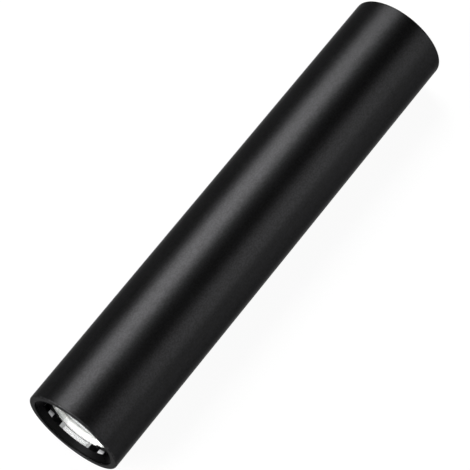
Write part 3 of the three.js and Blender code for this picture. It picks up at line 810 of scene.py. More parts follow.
@dataclass(frozen=True)
class Lathe:
    """Turns outlines about a line along the barrel.

    Attributes:
        steps: Faces around.
        round_steps: Faces across the round on a corner.
        hold: How far past a round the flat face is held flat.
        across: The y of the line.
        height: The z of the line.
    """

    steps: int = 128
    round_steps: int = 4
    hold: float = 0.05 * MM
    across: float = 0.0
    height: float = AXIS_Z

    def turn(self, *corners: Corner) -> Mesh:
        """Turns an outline into a solid.

        Args:
            corners: The outline. Its last corner joins its first, unless both lie on the axis.

        Returns:
            The solid.
        """
        bm = bmesh.new()
        closed = corners[0].r > 0
        points = self._held(corners, closed)
        verts = [bm.verts.new((p.x, self.across, self.height + p.r)) for p in points]
        for i in range(len(verts) - (0 if closed else 1)):
            bm.edges.new((verts[i], verts[(i + 1) % len(verts)]))
        for vert, point in zip(verts, points):
            if point.round > 0:
                rounded(bm, [vert], point.round, self.round_steps, "VERTICES")
        bmesh.ops.spin(
            bm,
            geom=bm.verts[:] + bm.edges[:],
            cent=(0.0, self.across, self.height),
            axis=(1.0, 0.0, 0.0),
            dvec=(0.0, 0.0, 0.0),
            angle=FULL_TURN,
            steps=self.steps,
            use_merge=True,
        )
        return sealed(bm)

    def disc(self, front: float, back: float, radius: float, edge: float = 0.0) -> Mesh:
        """Turns a plain disc or pin between two places, with a round on both its edges."""
        rim = Corner(front, radius, edge), Corner(back, radius, edge)
        return self.turn(Corner(front, 0.0), *rim, Corner(back, 0.0))

    def ring(self, front: float, back: float, inner: float, outer: float, edge: float) -> Mesh:
        """Turns a plain ring between two places and two radii, with a round on its four edges."""
        corners = (front, inner), (front, outer), (back, outer), (back, inner)
        return self.turn(*(Corner(x, r, edge) for x, r in corners))

    def arc(self, corners: Sequence[Corner], middle: float, width: float) -> Mesh:
        """Turns an outline through part of a circle.

        Args:
            corners: The outline, which is closed.
            middle: Where the middle of the arc lies, from straight up towards +Y, in degrees.
            width: The angle that it takes up, under 180 degrees.

        Returns:
            The solid.
        """
        bm = self.turn(*corners)
        for side in (-1, 1):
            angle = math.radians(middle + side * width / 2)
            bmesh.ops.bisect_plane(
                bm,
                geom=bm.verts[:] + bm.edges[:] + bm.faces[:],
                plane_co=(0.0, self.across, self.height),
                plane_no=(0.0, side * math.cos(angle), -side * math.sin(angle)),
                clear_outer=True,
            )
        bmesh.ops.holes_fill(bm, edges=[e for e in bm.edges if e.is_boundary], sides=0)
        return sealed(bm)

    def _held(self, corners: Sequence[Corner], closed: bool) -> list[Corner]:
        """Adds a plain point just past each round, so that the flat beside it stays flat.

        Args:
            corners: The outline.
            closed: Whether its last corner joins its first.

        Returns:
            The outline with those points.
        """
        points: list[Corner] = []
        for i, corner in enumerate(corners):
            points.append(corner)
            if i + 1 == len(corners) and not closed:
                break
            after = corners[(i + 1) % len(corners)]
            length = math.hypot(after.x - corner.x, after.r - corner.r)
            if length < corner.round + after.round + 3 * self.hold:
                continue
            gaps = []
            if corner.round > 0:
                gaps.append(corner.round + self.hold)
            if after.round > 0:
                gaps.append(length - after.round - self.hold)
            for gap in gaps:
                share = gap / length
                x = corner.x + (after.x - corner.x) * share
                points.append(Corner(x, corner.r + (after.r - corner.r) * share))
        return points


LATHE = Lathe()
SMALL_LATHE = Lathe(steps=64, hold=0.03 * MM)


def sealed(bm: Mesh) -> Mesh:
    """Merges what lies together and turns every face outwards.

    Args:
        bm: The shape.

    Returns:
        The same shape.
    """
    bmesh.ops.remove_doubles(bm, verts=bm.verts[:], dist=MERGE)
    bmesh.ops.dissolve_degenerate(bm, edges=bm.edges[:], dist=MERGE)
    bmesh.ops.recalc_face_normals(bm, faces=bm.faces[:])
    return bm


def block(low: Vector, high: Vector, bevel: float = 0.0, steps: int = 2) -> Mesh:
    """A box with rounded edges.

    Args:
        low: Its lowest corner.
        high: Its highest corner.
        bevel: The round on its edges.
        steps: Faces across that round.

    Returns:
        The box.
    """
    bm = bmesh.new()
    bmesh.ops.create_cube(bm, size=1.0)
    bmesh.ops.scale(bm, vec=high - low, verts=bm.verts[:])
    bmesh.ops.translate(bm, vec=(low + high) / 2, verts=bm.verts[:])
    if bevel > 0:
        rounded(bm, bm.edges[:], bevel, steps)
    return bm


def rounded(bm: Mesh, geom: Sequence[Any], size: float, steps: int = 2, affect: str = "EDGES") -> None:
    """Rounds some edges of a shape, or some corners of an outline.

    Args:
        bm: The shape.
        geom: The edges or the corners.
        size: How far the round reaches from each of them.
        steps: Faces across the round.
        affect: Which of the two they are.
    """
    bmesh.ops.bevel(
        bm,
        geom=list(geom),
        offset=size,
        offset_type="OFFSET",
        affect=affect,
        segments=steps,
        profile=0.5,
        material=-1,
    )


def merged(*shapes: Mesh) -> Mesh:
    """Puts several shapes into the first one, side by side.

    Args:
        shapes: The shapes, all but the first of which are used up.

    Returns:
        The first shape, with the others in it.
    """
    first, *others = shapes
    for other in others:
        carrier = bpy.data.meshes.new("carrier")
        other.to_mesh(carrier)
        other.free()
        first.from_mesh(carrier)
        bpy.data.meshes.remove(carrier)
    return first


def held(data: bpy.types.ID) -> Piece:
    """Puts a mesh or a curve into the scene for a while.

    Args:
        data: The mesh or the curve.

    Returns:
        The object that holds it.
    """
    holder = bpy.data.objects.new("carrier", data)
    bpy.context.scene.collection.objects.link(holder)
    return holder


def taken(holder: Piece) -> Mesh:
    """Takes the shape that an object's modifiers or curve give.

    Args:
        holder: The object.

    Returns:
        Its shape.
    """
    evaluated = holder.evaluated_get(bpy.context.evaluated_depsgraph_get())
    bm = bmesh.new()
    bm.from_mesh(evaluated.to_mesh())
    evaluated.to_mesh_clear()
    return sealed(bm)


def carved(base: Mesh, tool: Mesh, carve: Carve) -> Mesh:
    """Joins one shape to another, or cuts it away.

    Args:
        base: The shape that is kept.
        tool: The shape that is joined on or cut away.
        carve: Which of the two.

    Returns:
        The changed shape.
    """
    meshes = [bpy.data.meshes.new("carrier") for _ in range(2)]
    for bm, mesh in zip((base, tool), meshes):
        bm.to_mesh(mesh)
        bm.free()
    holders = [held(mesh) for mesh in meshes]
    modifier = holders[0].modifiers.new("carve", "BOOLEAN")
    modifier.operation = carve.value
    modifier.solver = "EXACT"
    modifier.object = holders[1]
    result = taken(holders[0])
    for holder, mesh in zip(holders, meshes):
        bpy.data.objects.remove(holder)
        bpy.data.meshes.remove(mesh)
    return result


def wire(points: Sequence[Vector], diameter: float, sides: int = 3) -> Mesh:
    """A round wire along a line of points.

    Args:
        points: The wire's centre line.
        diameter: The wire's diameter.
        sides: How finely its section is rounded.

    Returns:
        The closed wire.
    """
    curve = bpy.data.curves.new("carrier", "CURVE")
    curve.dimensions = "3D"
    curve.bevel_depth = diameter / 2
    curve.bevel_resolution = sides
    curve.use_fill_caps = True
    spline = curve.splines.new("POLY")
    spline.points.add(len(points) - 1)
    for point, place in zip(spline.points, points):
        point.co = (*place, 1.0)
    holder = held(curve)
    bm = taken(holder)
    bpy.data.objects.remove(holder)
    bpy.data.curves.remove(curve)
    return bm


def from_axis(vert: bmesh.types.BMVert | bpy.types.MeshVertex) -> float:
    """How far a vertex lies from the barrel's axis."""
    return math.hypot(vert.co.y, vert.co.z - AXIS_Z)


def faces_axis(face: Face) -> bool:
    """Whether a face looks in at the barrel's axis."""
    middle = face.calc_center_median()
    return face.normal.y * middle.y + face.normal.z * (middle.z - AXIS_Z) < 0


def paint_faces(bm: Mesh, material: int, wanted: Callable[[Face], bool]) -> None:
    """Gives the faces that pass a test another of the piece's finishes.

    Args:
        bm: The shape.
        material: The finish's number on the piece.
        wanted: The test.
    """
    for face in bm.faces:
        if wanted(face):
            face.material_index = material


def add_piece(
    name: str,
    bm: Mesh,
    finishes: Sequence[Finish],
    node: str | None = None,
    body: Body | None = Body.BARREL,
    crease: float = CREASE,
) -> Piece:
    """Makes a piece of a finished shape and sets it on its body.

    Args:
        name: The piece's name.
        bm: The shape, which is used up.
        finishes: Its finishes, the main one first.
        node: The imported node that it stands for, if any.
        body: The body that it rides on, or None for a piece that bends between two.
        crease: The angle past which an edge looks sharp.

    Returns:
        The piece.
    """
    mesh = bpy.data.meshes.new(name)
    bm.to_mesh(mesh)
    bm.free()
    mesh.shade_smooth()
    mesh.set_sharp_from_angle(angle=crease)
    for finish in finishes:
        mesh.materials.append(finish.material())
    piece = bpy.data.objects.new(name, mesh)
    bpy.context.scene.collection.objects.link(piece)
    if node is not None:
        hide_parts(node)
    if body is not None:
        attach(piece, body.value)
    log.info("%s: %d faces", name, len(mesh.polygons))
    return piece


@dataclass(frozen=True)
class Thread:
    """The screw thread between the tube and the tail cap, right-handed.

    Attributes:
        pitch: Its advance in one turn.
        depth: The height of its ridge.
        crest: The ridge's width at its top.
        root: The ridge's width at its foot.
        sink: How far the ridge reaches into what it grows from.
        steps: Faces in one turn.
    """

    pitch: float = 1.5 * MM
    depth: float = 0.6 * MM
    crest: float = 0.4 * MM
    root: float = 0.9 * MM
    sink: float = 0.3 * MM
    steps: int = 64

    def ridge(self, foot: float, top: float, back: float, front: float) -> Mesh:
        """Winds the ridge.

        Args:
            foot: The radius of its foot.
            top: The radius of its top.
            back: The x where its middle starts.
            front: The x where its middle ends.

        Returns:
            The ridge, closed at both ends.
        """
        bm = bmesh.new()
        root, crest = self.root / 2, self.crest / 2
        section = ((foot, -root), (top, -crest), (top, crest), (foot, root))
        verts = [bm.verts.new((back + offset, 0.0, AXIS_Z + r)) for r, offset in section]
        face = bm.faces.new(verts)
        turns = (front - back) / self.pitch
        steps = round(turns * self.steps)
        bmesh.ops.spin(
            bm,
            geom=[face, *face.edges, *verts],
            cent=(0.0, 0.0, AXIS_Z),
            axis=(1.0, 0.0, 0.0),
            dvec=((front - back) / steps, 0.0, 0.0),
            angle=turns * FULL_TURN,
            steps=steps,
            use_merge=False,
        )
        return sealed(bm)


THREAD = Thread()


@dataclass
class Barrel:
    """The body tube: head bore, battery bore and the threaded bore at its tail.

    Attributes:
        rim_round: The round on the front rim's outer edge.
        mouth_chamfer: The chamfer inside the front rim.
        head_fit: The radial gap around the pill.
        cell_fit: The radial gap around the cell.
        seal_fit: The radial gap around the tail's O-ring.
        relief: The bore's length past the tail cap's spigot.
        lead_in: The chamfer at the tail's mouth.
        groove: How far the thread is cut into the bore.
        seam: The gap to the tail cap's shoulder.
        seam_edge: The round on the edge at that gap.
    """

    rim_round: float = 0.4 * MM
    mouth_chamfer: float = 0.12 * MM
    head_fit: float = 0.15 * MM
    cell_fit: float = 0.3 * MM
    seal_fit: float = 0.1 * MM
    relief: float = 1.2 * MM
    lead_in: float = 0.25 * MM
    groove: float = 0.5 * MM
    seam: float = 0.008 * MM
    seam_edge: float = 0.015 * MM

    def build(self) -> None:
        """Turns the tube and cuts its thread."""
        head = Span.of("pill").radius + self.head_fit
        bore = Span.of("battery_can").radius + self.cell_fit
        tail = Span.of("tail_o_ring").radius + self.seal_fit
        step = Span.of("pill").back - SEAT
        stop = Span.of("tail_cap").front + self.relief
        end = TUBE.back - SEAT + self.seam
        tube = Lathe(steps=192).turn(
            Corner(step, head),
            Corner(TUBE.front - self.mouth_chamfer, head, Edge.CRISP),
            Corner(TUBE.front, head + self.mouth_chamfer, Edge.CRISP),
            Corner(TUBE.front, TUBE.radius, self.rim_round),
            Corner(end, TUBE.radius, self.seam_edge),
            Corner(end, tail + self.lead_in),
            Corner(end + self.lead_in, tail),
            Corner(stop, tail),
            Corner(stop, bore),
            Corner(step, bore),
        )
        plain = Span.of("tail_o_ring").front + THREAD.root
        cutter = THREAD.ridge(tail - THREAD.sink, tail + self.groove, plain, stop - THREAD.root)
        bm = carved(tube, cutter, Carve.REMOVE)
        add_piece("barrel_tube", bm, [BLACK_ANODISE], "body_tube")


@dataclass
class Head:
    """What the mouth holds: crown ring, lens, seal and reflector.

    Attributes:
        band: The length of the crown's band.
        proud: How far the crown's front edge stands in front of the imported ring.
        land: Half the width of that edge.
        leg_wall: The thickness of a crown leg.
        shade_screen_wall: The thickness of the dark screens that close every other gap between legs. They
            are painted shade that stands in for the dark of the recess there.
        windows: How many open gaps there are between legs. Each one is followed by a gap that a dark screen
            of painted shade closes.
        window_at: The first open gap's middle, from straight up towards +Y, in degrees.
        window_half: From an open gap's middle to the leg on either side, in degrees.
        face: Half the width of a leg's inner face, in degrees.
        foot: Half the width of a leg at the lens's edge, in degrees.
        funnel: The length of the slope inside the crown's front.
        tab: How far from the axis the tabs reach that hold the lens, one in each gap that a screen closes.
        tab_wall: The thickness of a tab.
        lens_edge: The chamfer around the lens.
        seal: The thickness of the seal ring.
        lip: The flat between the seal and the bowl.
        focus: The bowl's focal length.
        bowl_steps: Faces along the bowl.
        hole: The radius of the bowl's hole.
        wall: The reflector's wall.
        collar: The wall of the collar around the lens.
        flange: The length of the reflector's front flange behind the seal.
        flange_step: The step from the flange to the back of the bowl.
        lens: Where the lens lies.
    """

    band: float = 1.25 * MM
    proud: float = 0.12 * MM
    land: float = 0.1 * MM
    leg_wall: float = 0.9 * MM
    shade_screen_wall: float = 0.3 * MM
    windows: int = 3
    window_at: float = 71.5
    window_half: float = 35.5
    face: float = 9.0
    foot: float = 17.0
    funnel: float = 1.1 * MM
    tab: float = 8.5 * MM
    tab_wall: float = 0.25 * MM
    lens_edge: float = 0.2 * MM
    seal: float = 1.2 * MM
    lip: float = 0.2 * MM
    focus: float = 1.4 * MM
    bowl_steps: int = 36
    hole: float = 3.4 * MM
    wall: float = 1.0 * MM
    collar: float = 0.35 * MM
    flange: float = 1.5 * MM
    flange_step: float = 0.1 * MM
    lens: Span = field(default_factory=lambda: Span.of("lens"))

    def build(self) -> None:
        """Makes the four pieces."""
        self.build_crown()
        self.build_lens()
        self.build_seal()
        self.build_reflector()

    def build_crown(self) -> None:
        """Turns the band, then draws its legs and its dark screens, painted shade in every other gap, out of
        its back face.
        """
        ring = Span.of("crown_ring")
        outer = self.lens.radius
        inner = outer - self.leg_wall
        top = ring.front + self.proud
        end = ring.front - self.band
        sliver = 0.02 * MM
        degree = math.radians(1.0)
        face, foot = self.face * degree, self.foot * degree
        bm = Lathe(steps=360).turn(
            Corner(ring.front - self.funnel, inner, Edge.EASED),
            Corner(top, ring.radius - self.land, Edge.CRISP),
            Corner(top, ring.radius + self.land, Edge.CRISP),
            Corner(end, ring.radius + self.land),
            Corner(end, outer),
            Corner(end, inner + sliver),
            Corner(end, inner),
        )

        def off_window(point: Vector) -> float:
            """The angle from a point to the leg beside it, below 0 in an open gap."""
            angle = math.atan2(point.y, point.z - AXIS_Z) - self.window_at * degree
            return abs(math.remainder(angle, FULL_TURN / self.windows)) - self.window_half * degree

        def on_flank(side: Face) -> bool:
            """Whether a face is one of a leg's two slopes.

            Args:
                side: The face.

            Returns:
                True behind the band, on a slope that looks in at the axis.
            """
            middle = side.calc_center_median()
            upright = middle.x < end - SEAT and abs(side.normal.x) < SIDEWAYS
            return upright and face < abs(off_window(middle)) < foot and faces_axis(side)

        for vert in bm.verts:
            angle = abs(off_window(vert.co))
            # Every other gap is closed by a dark screen. It is painted shade, a dark sheet that stands in
            # for the shadow deep in the recess.
            shade_screened = off_window(vert.co) > 0
            on_back = abs(vert.co.x - end) < MERGE
            on_edge = on_back and abs(from_axis(vert) - inner - sliver) < sliver / 2
            if on_edge and face < angle and (shade_screened or angle < foot + degree / 2):
                reach = outer - (self.shade_screen_wall if shade_screened else sliver)
                share = self._ramp(inner + sliver, reach, face, foot, angle) / from_axis(vert)
                vert.co.y *= share
                vert.co.z = AXIS_Z + (vert.co.z - AXIS_Z) * share
        soles = []
        for sole in bm.faces:
            middle = sole.calc_center_median()
            on_back = abs(middle.x - end) < MERGE
            within = all(inner + sliver / 2 < from_axis(v) < outer + sliver / 2 for v in sole.verts)
            if on_back and within and off_window(middle) > -foot:
                soles.append(sole)
        drawn = bmesh.ops.extrude_face_region(bm, geom=soles)["geom"]
        bmesh.ops.delete(bm, geom=soles, context="FACES_ONLY")
        tips = [part for part in drawn if isinstance(part, bmesh.types.BMVert)]
        bmesh.ops.translate(bm, verts=tips, vec=(ring.back - end, 0, 0))
        sealed(bm)
        paint_faces(bm, 1, on_flank)
        bm = merged(bm, *self._tabs(ring.back))
        finishes = [CROWN_ANODISE, BRIGHT_CUT]
        add_piece("crown", bm, finishes, "crown_ring", crease=math.radians(12))

    def _tabs(self, back: float) -> list[Mesh]:
        """Cuts the crown's tabs, one between each pair of legs that a screen joins.

        Args:
            back: The x of the crown's back, where the tabs lie.

        Returns:
            The tabs.
        """
        outer = self.lens.radius - self.shade_screen_wall / 2
        outline = [
            Corner(back + SEAT / 2, self.tab),
            Corner(back + self.tab_wall, self.tab, Edge.FINE),
            Corner(back + self.tab_wall, outer),
            Corner(back + SEAT / 2, outer),
        ]
        pitch = 360 / self.windows
        width = pitch - 2 * (self.window_half + self.face / 2)
        return [
            Lathe(steps=180).arc(outline, self.window_at + pitch * (i + 0.5), width)
            for i in range(self.windows)
        ]

    @staticmethod
    def _ramp(low: float, high: float, face: float, foot: float, angle: float) -> float:
        """The radius of a leg's flat flank at an angle from the leg's middle."""
        across = low * math.sin(angle - face) + high * math.sin(foot - angle)
        return low * high * math.sin(foot - face) / max(across, MERGE) if angle < foot else high

    def build_lens(self) -> None:
        """A flat glass disc with ground edges."""
        lens, rim = self.lens, self.lens_edge
        bm = LATHE.turn(
            Corner(lens.front, 0.0),
            Corner(lens.front, lens.radius - rim, Edge.CRISP),
            Corner(lens.front - rim, lens.radius, Edge.CRISP),
            Corner(lens.back + rim, lens.radius, Edge.CRISP),
            Corner(lens.back, lens.radius - rim, Edge.CRISP),
            Corner(lens.back, 0.0),
        )
        add_piece("window", bm, [LENS_GLASS], "lens", crease=math.radians(50))

    def build_seal(self) -> None:
        """A round silicone ring behind the lens."""
        middle = self.lens.back - SEAT - self.seal / 2
        bm = round_ring(self.lens.radius - self.seal / 2, middle, self.seal / 2, self.seal / 2)
        add_piece("window_seal", bm, [WHITE_SILICONE], "lens_seal")

    def build_reflector(self) -> None:
        """Turns collar, ledge, parabolic bowl and neck; what faces the lens is coated."""
        span = Span.of("reflector")
        ledge = self.lens.back - 2 * SEAT - self.seal
        mouth = self.lens.radius - self.seal - self.lip
        collar = span.radius - self.collar
        back = ledge - self.flange
        steps = self.bowl_steps
        radii = [mouth + (self.hole - mouth) * i / steps for i in range(steps + 1)]
        bowl = [Corner(ledge - (mouth**2 - r**2) / (4 * self.focus), r) for r in radii]
        behind = [Corner(c.x, c.r + self.wall) for c in reversed(bowl) if c.x < back]
        bm = Lathe(steps=160).turn(
            Corner(span.front, span.radius, Edge.FINE),
            Corner(span.front, collar, Edge.FINE),
            Corner(ledge, collar),
            *bowl,
            Corner(span.back, self.hole),
            Corner(span.back, self.hole + self.wall),
            *behind,
            Corner(back, behind[-1].r + self.flange_step),
            Corner(back, span.radius, Edge.ROUND),
        )

        def coated(face: Face) -> bool:
            """Whether a face looks in at the axis or out at the lens."""
            on_ledge = face.calc_center_median().x < ledge + SEAT and face.normal.x > ENDWAYS
            return on_ledge or faces_axis(face)

        def collared(face: Face) -> bool:
            """Whether a face is the wall around the lens."""
            return coated(face) and face.calc_center_median().x > ledge + SEAT

        paint_faces(bm, 1, coated)
        paint_faces(bm, 2, collared)
        finishes = [REFLECTOR_BACK, REFLECTOR_COAT, COLLAR_COAT]
        add_piece("reflector_bowl", bm, finishes, "reflector", crease=math.radians(20))


def round_ring(radius: float, middle: float, rise: float, length: float, steps: int = 20) -> Mesh:
    """A ring of round or oval section about the barrel's axis.

    Args:
        radius: The radius of its section's middle.
        middle: The x of its section's middle.
        rise: Half the section's height.
        length: Half the section's length along the barrel.
        steps: Faces around the section.

    Returns:
        The ring.
    """
    angles = [FULL_TURN * i / steps for i in range(steps)]
    places = [(middle + length * math.cos(a), radius + rise * math.sin(a)) for a in angles]
    return LATHE.turn(*(Corner(x, r) for x, r in places))


@dataclass
class Lamp:
    """The LED on its board: gasket, base, die, dome and board.

    Attributes:
        gap: The gap around the base in the gasket.
        dam: The width of the dam along two sides of the base's top.
        dam_height: The height of that dam, and the width of its inner slope.
        die_edge: The round on the die's edges.
        pocket_gap: The gap around the die in the dome.
        dome_steps: Faces from the dome's foot to its top.
        slot: Half the width of the board's lead slots.
        slot_floor: Where the slots start, from the axis.
    """

    gap: float = 0.1 * MM
    dam: float = 0.14 * MM
    dam_height: float = 0.06 * MM
    die_edge: float = 0.02 * MM
    pocket_gap: float = 0.1 * MM
    dome_steps: int = 16
    slot: float = 0.9 * MM
    slot_floor: float = 5.75 * MM

    def build(self) -> None:
        """Makes the five pieces."""
        self.build_gasket()
        self.build_base()
        self.build_die_and_dome()
        self.build_board()

    def build_gasket(self) -> None:
        """A centring ring with a square hole for the LED's base."""
        span = Span.of("led_gasket")
        low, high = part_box("led_base")
        room = Vector((OVERRUN, self.gap, self.gap))
        ring = SMALL_LATHE.disc(span.front, span.back, span.radius, Edge.FINE)
        bm = carved(ring, block(low - room, high + room, Edge.MILD), Carve.REMOVE)
        add_piece("centring_gasket", bm, [WHITE_PLASTIC], "led_gasket")

    def build_base(self) -> None:
        """A ceramic block with a low dam along two sides of its top."""
        low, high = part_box("led_base")
        bm = block(low, high)
        top = [f for f in bm.faces if f.normal.x > ENDWAYS]
        bmesh.ops.inset_region(bm, faces=top, thickness=self.dam)
        tops = [f for f in bm.faces if f.normal.x > ENDWAYS]
        floor = [f for f in tops if abs(f.calc_center_median().y) < self.dam]
        bmesh.ops.inset_region(bm, faces=floor, thickness=self.dam_height, depth=-self.dam_height)
        outer = [e for e in bm.edges if all(abs(abs(v.co.y) - high.y) < MERGE for v in e.verts)]
        rounded(bm, outer, Edge.FINE)
        add_piece("emitter_base", sealed(bm), [CERAMIC], "led_base")

    def build_die_and_dome(self) -> None:
        """The chip, and the clear dome over it with a pocket for the chip."""
        low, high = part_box("led_die")
        add_piece("emitter_die", block(low, high, self.die_edge), [DIE], "led_die")
        span = Span.of("led_dome")
        angles = [math.pi / 2 * i / self.dome_steps for i in range(self.dome_steps)]
        arc = [
            Corner(span.back + span.radius * math.sin(a), span.radius * math.cos(a)) for a in angles
        ]
        top = Corner(span.back + span.radius, 0.0)
        dome = SMALL_LATHE.turn(Corner(span.back, 0.0), *arc, top)
        room = Vector((self.pocket_gap,) * 3)
        below = Vector((OVERRUN, 0.0, 0.0))
        dome = carved(dome, block(low - room - below, high + room), Carve.REMOVE)
        add_piece("emitter_dome", dome, [DOME_SILICONE], "led_dome", crease=math.radians(40))

    def build_board(self) -> None:
        """A metal-core board with two slots for the leads."""
        span = Span.of("led_board")
        bm = LATHE.disc(span.front, span.back, span.radius, Edge.FINE)
        for side in (1, -1):
            near, far = sorted((side * self.slot_floor, side * (span.radius + 2 * OVERRUN)))
            low = Vector((span.back - OVERRUN, -self.slot, AXIS_Z + near))
            high = Vector((span.front + OVERRUN, self.slot, AXIS_Z + far))
            bm = carved(bm, block(low, high), Carve.REMOVE)
        paint_faces(bm, 1, lambda f: f.normal.x < -ENDWAYS)
        add_piece("emitter_board", bm, [WHITE_BOARD, REFLECTOR_BACK], "led_board")


@dataclass
class Pill:
    """The brass pill that carries the LED and the driver.

    Attributes:
        wall: Its wall around the driver's cavity.
        shelf: The thickness of its front.
        ledge: The step that the driver board sits on.
        hole: The radius of a lead's hole.
        groove: The depth of its outer grooves.
        groove_half: Half the width of a groove.
        groove_pitch: From one groove to the next.
        grooves: How many grooves there are.
        ledge_round: The round on the board's ledge.
    """

    wall: float = 2.75 * MM
    shelf: float = 4.0 * MM
    ledge: float = 0.9 * MM
    hole: float = 0.85 * MM
    groove: float = 0.15 * MM
    groove_half: float = 0.2 * MM
    groove_pitch: float = 1.2 * MM
    grooves: int = 5
    ledge_round: float = 0.05 * MM

    def build(self) -> None:
        """Turns the pill with gripping grooves and drills the leads' holes."""
        span = Span.of("pill")
        cavity = span.radius - self.wall
        seat = cavity + self.ledge
        ceiling = span.front - self.shelf
        ledge = Span.of("driver_board").front + SEAT
        grooves: list[Corner] = []
        for i in range(self.grooves):
            middle = ceiling - self.groove_pitch * (i + 0.5)
            grooves += [
                Corner(middle + self.groove_half, span.radius),
                Corner(middle, span.radius - self.groove),
                Corner(middle - self.groove_half, span.radius),
            ]
        bm = LATHE.turn(
            Corner(span.front, 0.0),
            Corner(span.front, span.radius, Edge.ROUND),
            *grooves,
            Corner(span.back, span.radius, Edge.MILD),
            Corner(span.back, seat, Edge.SMALL),
            Corner(ledge, seat),
            Corner(ledge, cavity, self.ledge_round),
            Corner(ceiling, cavity, Edge.ROUND),
            Corner(ceiling, 0.0),
        )
        for side in (1, -1):
            lathe = Lathe(steps=32, height=AXIS_Z + side * LEAD_AT)
            drill = lathe.disc(span.front + OVERRUN, ceiling - OVERRUN / 2, self.hole)
            bm = carved(bm, drill, Carve.REMOVE)
        add_piece("heat_pill", bm, [BRASS], "pill")


@dataclass
class Driver:
    """The driver's round board, its retaining ring and its battery contact.

    Attributes:
        ring_width: The width of the retaining ring.
        contact_round: The round on the contact's back edge.
        dimple: The radius of the dimple in the contact, at its mouth.
        dimple_floor: The radius of that dimple's floor.
        dimple_depth: The depth of that dimple.
    """

    ring_width: float = 1.4 * MM
    contact_round: float = 0.35 * MM
    dimple: float = 1.6 * MM
    dimple_floor: float = 1.3 * MM
    dimple_depth: float = 0.15 * MM

    def build(self) -> None:
        """Makes the three pieces."""
        add_piece("driver_disc", board_disc("driver_board"), [GREEN_BOARD], "driver_board")
        ring = spanner_ring("driver_ring", self.ring_width, slots_in_front=False)
        add_piece("driver_retainer", ring, [BRASS], "driver_ring")
        pad = Span.of("driver_contact")
        floor = pad.back + self.dimple_depth
        contact = SMALL_LATHE.turn(
            Corner(pad.front, 0.0),
            Corner(pad.front, pad.radius, Edge.SMALL),
            Corner(pad.back, pad.radius, self.contact_round),
            Corner(pad.back, self.dimple, Edge.SMALL),
            Corner(floor, self.dimple_floor, Edge.SMALL),
            Corner(floor, 0.0),
        )
        add_piece("driver_pad", contact, [BRASS], "driver_contact")


@dataclass
class Inductor:
    """The driver's coil: a drum of ferrite with a copper winding between its flanges.

    Attributes:
        flange: The thickness of a flange.
        rise: How far the flanges stand out of the core.
        edge: The round on the drum's two ends.
        turns: How many turns the winding has.
        gauge: The diameter of its wire.
        end_gap: The gap between the winding and a flange.
        core_gap: The gap between the winding and the core.
        steps: Points in one turn.
    """

    flange: float = 0.7 * MM
    rise: float = 0.8 * MM
    edge: float = 0.12 * MM
    turns: int = 5
    gauge: float = 0.34 * MM
    end_gap: float = 0.02 * MM
    core_gap: float = 0.01 * MM
    steps: int = 24

    def build(self) -> None:
        """Turns the drum and winds its wire."""
        coil = Span.of("driver_coil")
        core = coil.radius - self.rise
        front, back = coil.front - self.flange, coil.back + self.flange
        drum = replace(SMALL_LATHE, across=coil.across).turn(
            Corner(coil.front, 0.0),
            Corner(coil.front, coil.radius, self.edge),
            Corner(front, coil.radius, Edge.SMALL),
            Corner(front, core),
            Corner(back, core),
            Corner(back, coil.radius, Edge.SMALL),
            Corner(coil.back, coil.radius, self.edge),
            Corner(coil.back, 0.0),
        )
        add_piece("inductor_core", drum, [FERRITE], "driver_coil")
        inset = self.gauge / 2 + self.end_gap
        first, last = front - inset, back + inset
        radius = core + self.gauge / 2 + self.core_gap
        count = self.turns * self.steps
        line = []
        for i in range(count + 1):
            angle = FULL_TURN * i / self.steps
            x = first + (last - first) * i / count
            y = coil.across + radius * math.sin(angle)
            line.append(Vector((x, y, AXIS_Z + radius * math.cos(angle))))
        add_piece("inductor_winding", wire(line, self.gauge), [COPPER])


@dataclass
class Controller:
    """The driver's moulded chip, with bent tin legs along two sides.

    Attributes:
        edge: The round on the chip's edges.
        lift: How far the chip stands over the board.
        pins: How many legs each side has.
        pitch: From one leg to the next.
        width: The width of a leg.
        thick: The thickness of a leg.
        pin_edge: The round on a leg's edges.
        root: How far a leg starts inside the chip.
        bend: From the chip's side to the leg's bend.
        overlap: How far the leg's arm runs into that bend.
        reach: From the chip's side to the tip of the leg's foot.
        knee: The height of the leg's arm over the board.
    """

    edge: float = 0.12 * MM
    lift: float = 0.12 * MM
    pins: int = 4
    pitch: float = 1.1 * MM
    width: float = 0.4 * MM
    thick: float = 0.16 * MM
    pin_edge: float = 0.03 * MM
    root: float = 0.05 * MM
    bend: float = 0.3 * MM
    overlap: float = 0.05 * MM
    reach: float = 0.75 * MM
    knee: float = 0.6 * MM

    def build(self) -> None:
        """Moulds the chip and bends its legs."""
        low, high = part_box("driver_chip")
        lift = Vector((self.lift, 0.0, 0.0))
        chip = block(low + lift, high, self.edge)
        add_piece("driver_controller", chip, [BLACK_PLASTIC], "driver_chip")
        pins = []
        for i in range(self.pins):
            z = (low.z + high.z) / 2 + self.pitch * (i - (self.pins - 1) / 2)
            for edge, out in ((low.y, -1), (high.y, 1)):
                pins += self._pin(low.x, edge, out, z)
        add_piece("controller_pins", merged(*pins), [SOLDER])

    def _pin(self, board: float, edge: float, out: int, z: float) -> list[Mesh]:
        """Bends one leg.

        Args:
            board: The x of the board's face.
            edge: The y of the chip's side.
            out: Which way along y the leg runs.
            z: The z of its middle.

        Returns:
            Its arm, its drop and its foot.
        """
        knee = board + self.knee
        sections = (
            (knee - self.thick, knee, -self.root, self.bend + self.overlap),
            (board, knee, self.bend, self.bend + self.thick),
            (board, board + self.thick, self.bend, self.reach),
        )
        parts = []
        for back, front, start, stop in sections:
            near, far = sorted((edge + out * start, edge + out * stop))
            low = Vector((back, near, z - self.width / 2))
            high = Vector((front, far, z + self.width / 2))
            parts.append(block(low, high, self.pin_edge))
        return parts


